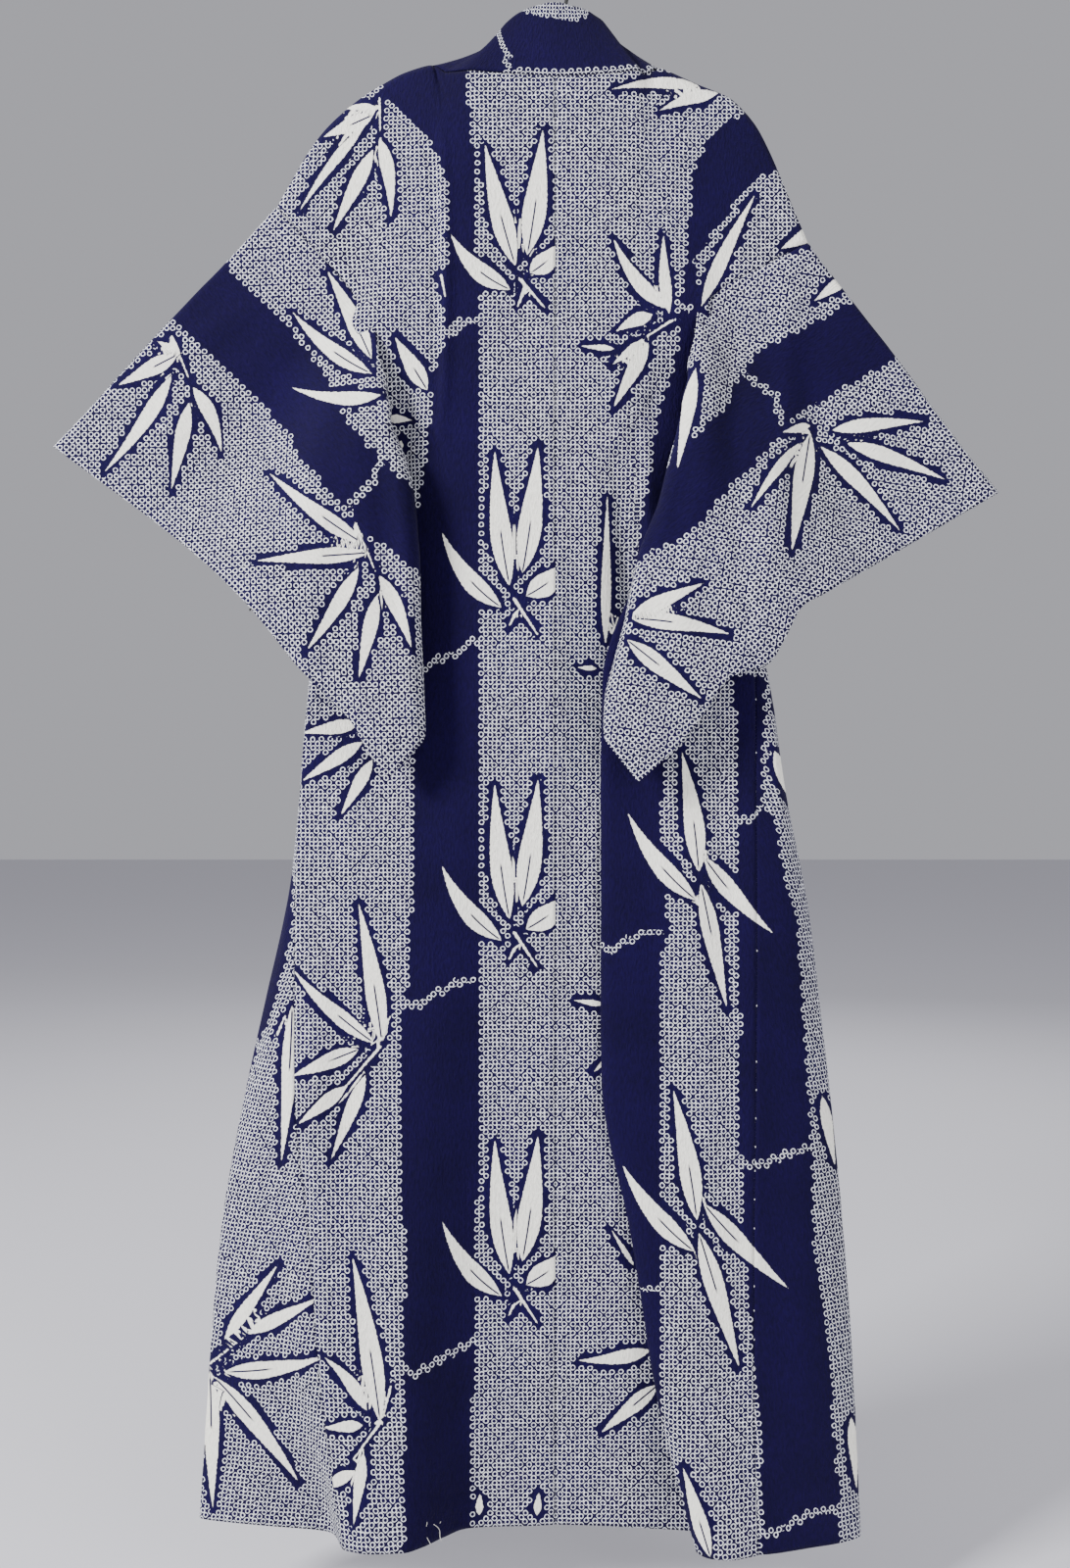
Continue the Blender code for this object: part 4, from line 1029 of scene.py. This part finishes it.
RIGHT_OUTER_LEAVES = [
    (713, 890, 696, 767, 21, 2), (711, 919, 641, 830, 20, -7), (718, 874, 788, 952, 18, 3),
    (715, 901, 742, 1029, 18, 0), (711, 1245, 687, 1112, 21, 2), (709, 1277, 635, 1188, 20, -7),
    (718, 1228, 805, 1315, 19, 3), (713, 1258, 755, 1397, 20, 0), (725, 1590, 697, 1497, 16, 0),
    (797, 733, 790, 688, 10, 2), (790, 766, 815, 832, 14, 0), (800, 761, 811, 793, 10, 0),
    (838, 1118, 852, 1190, 12, 0), (868, 1445, 874, 1520, 10, 0),
]
LEFT_BAND = (
    (70, 383, 475), (93, 391, 476), (105, 405, 477), (125, 426, 480), (150, 442, 483), (174, 454, 483),
    (199, 458, 483), (285, 456, 487), (354, 454, 490), (378, 442, 490), (407, 440, 490),
    (448, 438, 490), (489, 432, 490), (517, 426, 490), (550, 422, 490), (900, 421, 490),
    (1000, 418, 490), (1040, 410, 490), (1200, 408, 488), (1260, 413, 485), (1600, 413, 480),
)
LEFT_EDGE_BAND = (
    (849, -99, -90), (850, -99, 298), (945, -99, 298), (980, -99, 290), (1020, -99, 280),
    (1060, -99, 266), (1085, -99, 258), (1120, -99, 248), (1160, -99, 241), (1230, -99, 228),
    (1300, -99, 150),
)
RIGHT_TOP_BAND = (
    (100, 775, 900), (115, 758, 900), (130, 738, 900), (152, 718, 900), (167, 709, 800), (186, 706, 768),
    (201, 705, 753), (227, 704, 738), (252, 703, 716), (267, 700, 708), (282, 697, 710),
    (300, 696, 712), (318, 695, 715), (330, 695, 900), (356, 693, 900), (393, 682, 900),
    (430, 670, 900), (467, 666, 900), (504, 660, 900), (541, 654, 900), (578, 649, 900),
    (615, 645, 900), (650, 720, 700), (1600, 720, 700),
)
RIGHT_RIDGE_BAND = (
    (600, -99, 780), (650, -99, 760), (690, -99, 690), (700, -99, 677), (850, -99, 675),
    (948, -99, 682), (990, -99, 672), (1315, -99, 673), (1433, -99, 675), (1600, -99, 677),
)
RIGHT_SIDE_BAND = (
    (600, 765, 750), (688, 765, 750), (689, 749, 780), (728, 751, 780), (791, 753, 778), (820, 752, 779),
    (839, 752, 791), (887, 753, 798), (938, 752, 812), (1035, 756, 818), (1139, 756, 825),
    (1170, 756, 827), (1273, 762, 829), (1310, 763, 836), (1398, 772, 846), (1450, 776, 850),
    (1524, 778, 856), (1570, 779, 858),
)
BODY_CHAINS = {
    "left": (
        ((458, 342), (471, 329), (489, 326)),
        ((426, 679), (436, 682), (450, 671), (465, 668), (480, 655), (492, 653)),
        ((412, 1022), (425, 1027), (440, 1015), (455, 1008), (470, 1001), (480, 1000)),
        ((410, 1396), (425, 1402), (440, 1392), (455, 1382), (470, 1376), (483, 1368)),
        ((254, 1062), (265, 1066)),
    ),
    "right": (
        ((613, 963), (625, 971), (640, 960), (656, 952), (675, 951)),
        ((743, 828), (751, 838), (764, 836), (772, 829), (795, 812)),
        ((756, 1192), (768, 1186), (780, 1189), (795, 1180), (810, 1176), (826, 1169)),
        ((779, 1568), (795, 1562), (812, 1552), (831, 1542), (860, 1539)),
        ((657, 1315), (673, 1315)),
        ((694, 313), (703, 314)),
    ),
}
LEFT_FRONT_LEAVES = [
    (298, 1025, 287, 1186, 16, -2), (283, 1056, 291, 1036, 3, 0), (229, 1367, 284, 1290, 13, 0),
    (252, 1361, 327, 1324, 14, 0), (228, 1400, 333, 1384, 18, 4), (218, 1405, 306, 1513, 18, -3),
    (214, 1398, 217, 1541, 17, 0), (213, 1392, 252, 1362, 3, 0),
]
BODY_CREASES = {
    "left": (
        (454, 95, 450, 480, 7, 2.4), (447, 100, 440, 470, 6, -1.8), (383, 338, 470, 560, 20, 1.6),
        (470, 600, 480, 1500, 26, 1.3), (312, 900, 335, 1560, 18, 2.4), (352, 880, 372, 1540, 20, -2.0),
        (430, 760, 425, 1560, 24, 1.6), (395, 620, 400, 900, 14, -1.2), (540, 160, 535, 700, 22, -0.9),
        (510, 820, 505, 1500, 22, -1.3),
    ),
    "right": (
        (712, 318, 640, 560, 16, 1.8), (700, 330, 610, 520, 12, -1.4), (690, 105, 676, 300, 12, 1.0),
        (705, 720, 722, 1560, 22, 1.5), (742, 700, 770, 1560, 18, -1.9), (800, 720, 824, 1560, 20, 2.0),
        (655, 700, 668, 1300, 13, -1.0), (596, 300, 592, 1400, 17, -1.0), (760, 1000, 790, 1500, 12, 1.2),
    ),
}
HEM_CREASES = (
    (340, 1524, 560, 1530, 4, -0.8), (575, 1530, 690, 1526, 4, -0.8), (660, 1522, 780, 1500, 4, -0.8),
)


def body_cloth(outer, marks, turn_mark, split_mark):
    """Way across the cloth from the centre back and way down, for each point.

    Past a fold the way across is counted anew from the fold's edge, where the cloth is seen.
    """
    steps = np.hypot(np.diff(outer[..., 0], axis=1), np.diff(outer[..., 1], axis=1))
    u = np.concatenate([steps[:, :1] * 0, np.cumsum(steps, axis=1)], axis=1) + np.abs(outer[:, :1, 0])
    if turn_mark:
        turn = int(np.argmin(np.abs(marks - turn_mark)))
        anew = u - u[:, turn : turn + 1] + np.abs(outer[:, turn : turn + 1, 0])
        u = np.where(marks >= split_mark, anew, u)
    return np.stack([u, -outer[..., 2]], axis=-1)


def tucked_edge(name, grid, marks):
    """Below the arm the body's edge reaches a little way behind the sleeve."""
    drop = NECK_Z - grid[..., 2]
    reach = 20 * ease((drop - 226) / 34) * ease((430 - drop) / 50) * ease((marks - marks[-1] + 4) / 4)
    return grid + np.stack([reach * SIDES[name]["sign"], reach * 0.15, reach * 0], axis=-1)


def let_down(grid, share):
    """The cloth's own weight draws its hem down a little, and most at the right."""
    low = ease((NECK_Z - grid[..., 2] - 900) / 560) * share
    drawn = low * (8 + 9 * ease(grid[..., 0] / 230))
    return grid - np.stack([0 * drawn, 0 * drawn, drawn], axis=-1)


def either(choice, first, second):
    """Of two sets of leaf fields, the one for each point's layer of cloth."""
    return [np.where(choice, one, other) for one, other in zip(first, second)]


# Column of the right back's grid at the edge of its pleat, and one under the pleat.
PLEAT_EDGE = {"left": 0, "right": 12}
PLEAT_UNDER = {"left": 0, "right": 10}
FRONT_TURN = {"left": 5, "right": 6}

surfaces = {}
for name, side in SIDES.items():
    back, back_in, front, front_in, nb, nf = body_panel(name)
    for part, outer, inner, pitch in (
        ("back", back, back_in, (5.2, 3.1)), ("front", front, front_in, (4.6, 3.4)),
    ):
        index = np.zeros(outer.shape)
        index[..., 0] = np.arange(outer.shape[1])
        outer, inner, index = fine_grids((outer, inner, index), pitch)
        marks = index[0, :, 0]
        outer, inner = tucked_edge(name, outer, marks), tucked_edge(name, inner, marks)
        share = ease(marks / FRONT_TURN[name]) if part == "front" else 1
        outer, inner = let_down(outer, share), let_down(inner, share)
        inner = outer + (inner - outer) * THIN
        x, y = seen(outer)
        if part == "back":
            creases = BODY_CREASES[name] + HEM_CREASES
            outer, inner = creased(outer, inner, creases, ("left", "right", "top"))
            uv = body_cloth(outer, marks, PLEAT_EDGE[name], PLEAT_UNDER[name])
            chain = chain_field(x, y, BODY_CHAINS[name])
            if name == "left":
                leaf = leaf_field(x, y, LEFT_LEAVES)
                dots = dots_field(x, y, (LEFT_BAND,))
            else:
                past = marks[None, :] >= PLEAT_UNDER[name]
                leaf = either(
                    past & (y > 600), leaf_field(x, y, RIGHT_OUTER_LEAVES), leaf_field(x, y, RIGHT_INNER_LEAVES)
                )
                dots = np.where(
                    past & (y > 600),
                    dots_field(x, y, (RIGHT_RIDGE_BAND, RIGHT_SIDE_BAND)),
                    dots_field(x, y, (RIGHT_TOP_BAND,)),
                )
        else:
            outer, inner = creased(outer, inner, shifted(BODY_CREASES[name], 0, 25), ("left", "right", "top"))
            uv = body_cloth(outer, marks, 0, 0)
            past = marks[None, :] >= FRONT_TURN[name]
            shown = LEFT_FRONT_LEAVES if name == "left" else RIGHT_OUTER_LEAVES
            across = -95 if name == "left" else 130
            leaf = either(
                past,
                leaf_field(x, y, shown),
                leaf_field(x, y, shifted(CENTRE_LEAVES, across, 90) + shifted(RIGHT_OUTER_LEAVES, 100, 60)),
            )
            band = ((60, 385, 440), (1700, 372, 430)) if name == "left" else ((60, 705, 760), (1700, 705, 770))
            edge = (LEFT_EDGE_BAND,) if name == "left" else (RIGHT_SIDE_BAND,)
            dots = np.where(past, dots_field(x, y, edge), dots_field(x, y, (band,)))
            chain = chain_field(x, y, BODY_CHAINS[name])
        surfaces[name + "_" + part] = (outer, seen(outer))
        piece = cloth_wall(name + "_" + part, outer, inner, uv, dyed(uv, leaf, dots, chain))
        piece.data.materials.append(SHIBORI)
        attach(piece, "root")
        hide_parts("body_" + name)

# Overlaps (okumi).
# A narrow strip sewn to the inner edge of each front, cut slanting where the collar covers it.
OVERLAP = {
    "left": {"drop": (0, COLLAR_END, 930, HEM), "x": (40, 40, 32, 8), "y": (27, 29, 30, 32)},
    "right": {"drop": (0, COLLAR_END, 930, HEM), "x": (-40, -40, -38, -44), "y": (12, 11, 12, 13)},
}
# Where the collar's lower end meets the overlap.
COLLAR_FOOT = {"left": -15.0, "right": 15.0}
OVERLAP_TOP = 118.0
OVERLAP_STEPS = 2
# How the collar band spreads from its seam, along the seam from the centre back.
BAND_WAY = {
    "seam": (0, 45, 84, 128, 141, 165, 200, 260, 900),
    "inward": (0, 15, 34, 46, 50, 54, BAND, BAND, BAND),
    "y": (12, 13, 14, 16, 12, 8, 4, 3, 3),
    "up": (82, 73, 57, 24, 14, 4, 0, 0, 0),
}
BAND_STEPS = 4
COLLAR_GAP = 0.5       # the collar turns round the neck, so its seam has a little more room


def overlap_edge(name, drop, neck_x, neck_drop):
    """The free edge of the front overlap, slanted under the collar and upright below it."""
    foot = COLLAR_FOOT[name]
    slant = neck_x + (foot - neck_x) * (drop - neck_drop) / (COLLAR_END - neck_drop)
    free = OVERLAP[name]
    y = float(pchip(free["drop"], free["y"], drop))
    if drop <= COLLAR_END:
        return slant, y
    return float(pchip(free["drop"], free["x"], drop)), y


def overlap_grids(name, front, normals):
    """Okumi, the strip sewn to the front panel's inner edge, from that edge's own points."""
    sign = SIDES[name]["sign"]
    neck_x, neck_drop = front[0, 0, 0], NECK_Z - front[0, 0, 2]
    column = [p for p in zip(front[:, 0], normals[:, 0]) if NECK_Z - p[0][2] > OVERLAP_TOP]
    rows = []
    for k, (point, normal) in enumerate(column):
        rows.append((NECK_Z - point[2], point, normal))
        if k + 1 < len(column):
            below = NECK_Z - column[k + 1][0][2]
            here = NECK_Z - point[2]
            if here <= COLLAR_END < below:
                share = (COLLAR_END + 1.5 - here) / (below - here)
                middle = point + (column[k + 1][0] - point) * share
                rows.append((COLLAR_END + 1.5, middle, normal))
    grid = []
    for drop, point, normal in rows:
        x, y = overlap_edge(name, drop, neck_x, neck_drop)
        start = point + np.array((-sign * SEAM, 0, 0))
        stop = np.array((x, y, height(drop)))
        share = np.linspace(0, 1, OVERLAP_STEPS + 1)[:, None]
        line = start + (stop - start) * share
        line[:, 1] = start[1] + (stop[1] - start[1]) * ease(share[:, 0])
        grid.append(line)
    grid = np.array(grid)
    n = grid_normals(grid, (0, 1, 0))
    n[:, 0] = np.array([r[2] for r in rows])
    n[0] = n[0, 0]
    return grid, grid - n * CLOTH, n


def collar_path(name, back, front, overlap, nb, nf, no):
    """Seam of the collar from the centre back to its lower end, with the cloth's normals."""
    neck = NECK_COLUMN[name]
    points = [p for p in back[0, : neck + 1]]
    normals = [n for n in nb[0, : neck + 1]]
    for point, normal in zip(front[1:, 0], nf[1:, 0]):
        if NECK_Z - point[2] < OVERLAP_TOP:
            points.append(point)
            normals.append(normal)
    for point, normal in zip(overlap[:, -1], no[:, -1]):
        if NECK_Z - point[2] <= COLLAR_END + 0.5:
            points.append(point)
            normals.append(normal)
    return np.array(points), np.array(normals)


def collar_half(name, path, normals):
    """Outer and inner grids of half the collar band, from its seam to its free edge."""
    sign = SIDES[name]["sign"]
    seam = np.concatenate([[0], np.cumsum(np.linalg.norm(np.diff(path, axis=0), axis=1))])
    way = np.stack(
        [
            -sign * pchip(BAND_WAY["seam"], BAND_WAY["inward"], seam),
            pchip(BAND_WAY["seam"], BAND_WAY["y"], seam),
            pchip(BAND_WAY["seam"], BAND_WAY["up"], seam),
        ],
        axis=-1,
    )
    clear = way / np.linalg.norm(way, axis=-1, keepdims=True) * COLLAR_GAP
    share = np.linspace(0, 1, BAND_STEPS + 1)[None, :, None]
    grid = path[:, None] + clear[:, None] + (way - clear)[:, None] * share
    n = grid_normals(grid, (0, 1, 0))
    n[:, 0] = normals
    n[0] = unit(n[0] * (0, 1, 1))
    return grid, grid - n * COLLAR


# The strip is slanted under the collar, so its cut is less than a full rectangle.
halves = {}
for name, side in SIDES.items():
    back, back_in, front, front_in, nb, nf = body_panel(name)
    strip, strip_in, no = overlap_grids(name, front, nf)
    path, normals = collar_path(name, back, front, strip, nb, nf, no)
    halves[name] = collar_half(name, path, normals)
    outer, inner = fine_grids((strip, strip_in), (6.0, 4.0))
    inner = outer + (inner - outer) * THIN
    x, y = seen(outer)
    outer, inner = creased(outer, inner, (), ("left", "right", "top"))
    uv = body_cloth(outer, np.arange(outer.shape[1]), 0, 0)
    leaf = leaf_field(x, y, shifted(CENTRE_LEAVES, 25 if name == "left" else 95, 150))
    overlap = cloth_wall(
        name + "_overlap", outer, inner, uv, dyed(uv, leaf, np.full(x.shape, FAR), np.full(x.shape, FAR))
    )
    overlap.data.materials.append(SHIBORI)
    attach(overlap, "root")
    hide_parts("overlap_" + name)

# Collar (eri).
# A band of the navy part of the cloth, folded double and sewn round the neck and down the
# slanted edges of both overlaps.
COLLAR_CHAIN = (
    (505, 31), (508, 36), (511, 41), (514, 48), (517, 54), (517.5, 62), (518, 68), (520, 78),
)
COLLAR_DOTS = ((-10, 523, 612), (8, 523, 604), (14, 536, 600), (18, 560, 596), (24, 600, 590), (200, 600, 590))

layers = []
for layer in (0, 1):
    left, right = halves["left"][layer], halves["right"][layer]
    middle = (left[:1] + right[:1]) / 2 * (0, 1, 1)
    layers.append(np.concatenate([left[:0:-1], middle, right[1:]]))
outer, inner = fine_grids(layers, (4.0, 3.5))
inner = outer + (inner - outer) * 0.8
x, y = seen(outer)
steps = np.linalg.norm(np.diff(outer, axis=0), axis=-1)[:, :1]
along = np.concatenate([[[0]], np.cumsum(steps, axis=0)]) * np.ones(x.shape)
wide = np.linalg.norm(np.diff(outer, axis=1), axis=-1)
across = np.concatenate([wide[:, :1] * 0, np.cumsum(wide, axis=1)], axis=1)
uv = np.stack([along, across], axis=-1)
behind = outer[..., 1] < 25
dots = -np.where(behind & (y < 90), dots_field(x, y, (COLLAR_DOTS,)), 30.0)
seam_rings = np.where((x > 523) & (x < 672), np.abs(across - 3.2), FAR)
rows = np.minimum(seam_rings, np.where(behind, chain_field(x, y, (COLLAR_CHAIN,)), FAR))
no_leaf = np.full(x.shape, FAR)
fields = dyed(uv, (no_leaf, no_leaf, -no_leaf, 0 * no_leaf), dots, rows)
collar = cloth_wall("collar_band", outer, inner, uv, fields)
collar.data.materials.append(SHIBORI)
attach(collar, "root")
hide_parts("collar")

# Stitches.
# White basting knots down the right side seam, a dark tack where each sleeve's opening ends,
# and a few loose ends of thread at the hem.
KNOTS = [(768.5 + 1.2 * math.sin(y), y) for y in np.arange(712, 1575, 28.5)]
TACKS = (("left", 257, 620), ("right", 803, 627))
LOOSE = ((441, 1556, 10, 16), (447, 1553, -7, 12), (436, 1557, 4, 21))


def on_cloth(surface, across, down):
    """The point of a finished piece, in millimetres, that is seen at a place from behind."""
    points, (x, y) = surface
    toward = np.where(points[..., 1] < 60, points[..., 1] * 0.05, 0)
    return points.reshape(-1, 3)[np.argmin(np.hypot(x - across, y - down) + toward)]


def thread_finish(name, colour):
    """Spun cotton thread, matt, with its twist too fine to show but as a slight mottle."""
    mat, tree = blank(name)
    where = add(tree, "ShaderNodeTexCoord")
    twist = add(tree, "ShaderNodeTexNoise", {"Vector": where.outputs["Object"], "Scale": 1800.0})
    tone = add(tree, "ShaderNodeMapRange", {0: twist, 3: 0.7, 4: 1.15})
    paint = add(tree, "ShaderNodeVectorMath", {0: linear(colour)[:3], "Scale": tone}, operation="SCALE")
    spun = add(tree, "ShaderNodeBsdfPrincipled", {"Base Color": paint, "Roughness": 0.9})
    add(tree, "ShaderNodeOutputMaterial", {"Surface": spun})
    return mat


def joined_beads(name, spots, size, finish):
    """Small knots of thread as one mesh, each a stretched ball sunk halfway into the cloth."""
    bm = bmesh.new()
    for spot in spots:
        ball = bmesh.ops.create_icosphere(bm, subdivisions=1, radius=1.0)
        bmesh.ops.scale(bm, verts=ball["verts"], vec=[s * MM for s in size])
        bmesh.ops.translate(bm, verts=ball["verts"], vec=[c * MM for c in spot])
    for face in bm.faces:
        face.smooth = True
    mesh = bpy.data.meshes.new(name)
    bm.to_mesh(mesh)
    bm.free()
    piece = bpy.data.objects.new(name, mesh)
    bpy.context.scene.collection.objects.link(piece)
    mesh.materials.append(finish)
    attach(piece, "root")
    return piece


seam_points = [on_cloth(surfaces["right_front"], x, y) for x, y in KNOTS]
joined_beads("side_knots", seam_points, (0.55, 0.5, 1.1), thread_finish("white_cotton_thread", "#E8E8EC"))
tack_points = [on_cloth(sewn_to[name], x, y) for name, x, y in TACKS]
tack_points = [point + (k * 0.8, 0, k * 1.4) for point in tack_points for k in (-1, 0, 1)]
joined_beads("sleeve_tacks", tack_points, (0.9, 1.2, 1.6), thread_finish("black_cotton_thread", "#141416"))

loose_finish = thread_finish("loose_cotton_thread", "#E4E2DA")
for k, (across, down, sway, fall) in enumerate(LOOSE):
    start = on_cloth(surfaces["left_back"], across, down)
    strand = bpy.data.curves.new("loose_thread_%d" % k, "CURVE")
    strand.dimensions = "3D"
    strand.bevel_depth = 0.00028
    strand.bevel_resolution = 1
    strand.use_fill_caps = True
    line = strand.splines.new("POLY")
    line.points.add(11)
    for place, t in zip(line.points, np.linspace(0, 1, 12)):
        curl = (sway * t + 2 * math.sin(t * 5 + k), 1.2 * math.sin(t * 4), -fall * t + 2)
        place.co = (*((start + curl) * MM), 1.0)
    thread = bpy.data.objects.new("loose_thread_%d" % k, strand)
    bpy.context.scene.collection.objects.link(thread)
    strand.materials.append(loose_finish)
    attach(thread, "root")

# Hanger.
# A plain moulded bar of black plastic carries the shoulders, on a hook of black steel wire.
def hanger_finish(name, colour, roughness, metallic, grain):
    """A hard surface with the fine unevenness of how it was made."""
    mat, tree = blank(name)
    where = add(tree, "ShaderNodeTexCoord")
    speck = add(tree, "ShaderNodeTexNoise", {"Vector": where.outputs["Object"], "Scale": grain, "Detail": 3.0})
    tone = add(tree, "ShaderNodeMapRange", {0: speck, 1: 0.3, 2: 0.7, 3: 0.75, 4: 1.3})
    paint = add(tree, "ShaderNodeVectorMath", {0: linear(colour)[:3], "Scale": tone}, operation="SCALE")
    gloss = add(tree, "ShaderNodeMapRange", {0: speck, 1: 0.3, 2: 0.7, 3: roughness - 0.06, 4: roughness + 0.08})
    bump = add(tree, "ShaderNodeBump", {"Height": speck, "Strength": 0.15, "Distance": 0.0004})
    hard = add(
        tree, "ShaderNodeBsdfPrincipled",
        {"Base Color": paint, "Roughness": gloss, "Metallic": metallic, "Normal": bump},
    )
    add(tree, "ShaderNodeOutputMaterial", {"Surface": hard})
    return mat


for node, finish in (
    ("hanger_bar", hanger_finish("moulded_black_plastic", "#1C1C1E", 0.42, 0.0, 900.0)),
    ("hanger_hook", hanger_finish("painted_steel_wire", "#151517", 0.3, 0.0, 1500.0)),
):
    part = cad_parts[node]
    part.data.materials.clear()
    part.data.materials.append(finish)

# Studio.
# A pale floor well below the hem, soft lights and a camera level with the middle of the robe.
bm = bmesh.new()
bmesh.ops.create_grid(bm, x_segments=1, y_segments=1, size=14.0)
bmesh.ops.translate(bm, verts=bm.verts, vec=(0, 0, -1.72))
mesh = bpy.data.meshes.new("floor")
bm.to_mesh(mesh)
bm.free()
floor = bpy.data.objects.new("floor", mesh)
bpy.context.scene.collection.objects.link(floor)
mat, tree = blank("pale_paint")
paint = add(tree, "ShaderNodeBsdfPrincipled", {"Base Color": linear("#D6D5DC"), "Roughness": 0.9})
add(tree, "ShaderNodeOutputMaterial", {"Surface": paint})
floor.data.materials.append(mat)

LIGHTS = (
    # name, place, aim, width, watts
    ("front_left", (-2.9, -2.0, 0.9), (0, 0, -0.8), 1.0, 280),
    ("front_right", (2.4, -2.6, -0.2), (0, 0, -0.9), 2.2, 72),
    ("behind", (0.6, 2.8, 0.9), (0, 0, -0.7), 2.2, 45),
)
for name, place, aim, width, watts in LIGHTS:
    lamp = bpy.data.lights.new(name, "AREA")
    lamp.size = width
    lamp.energy = watts
    holder = bpy.data.objects.new(name, lamp)
    way = Vector(aim) - Vector(place)
    holder.location = place
    holder.rotation_euler = way.to_track_quat("-Z", "Y").to_euler()
    bpy.context.scene.collection.objects.link(holder)
world = bpy.data.worlds.new("studio")
world.use_nodes = True
world.node_tree.nodes["Background"].inputs["Color"].default_value = linear("#E4E4EC")
world.node_tree.nodes["Background"].inputs["Strength"].default_value = 0.55
bpy.context.scene.world = world

lens = bpy.data.cameras.new("camera")
lens.lens = 31.5
camera = bpy.data.objects.new("camera", lens)
camera.location = (-0.021, -1.42, -0.870)
camera.rotation_euler = (math.radians(90), 0, 0)
bpy.context.scene.collection.objects.link(camera)
bpy.context.scene.camera = camera
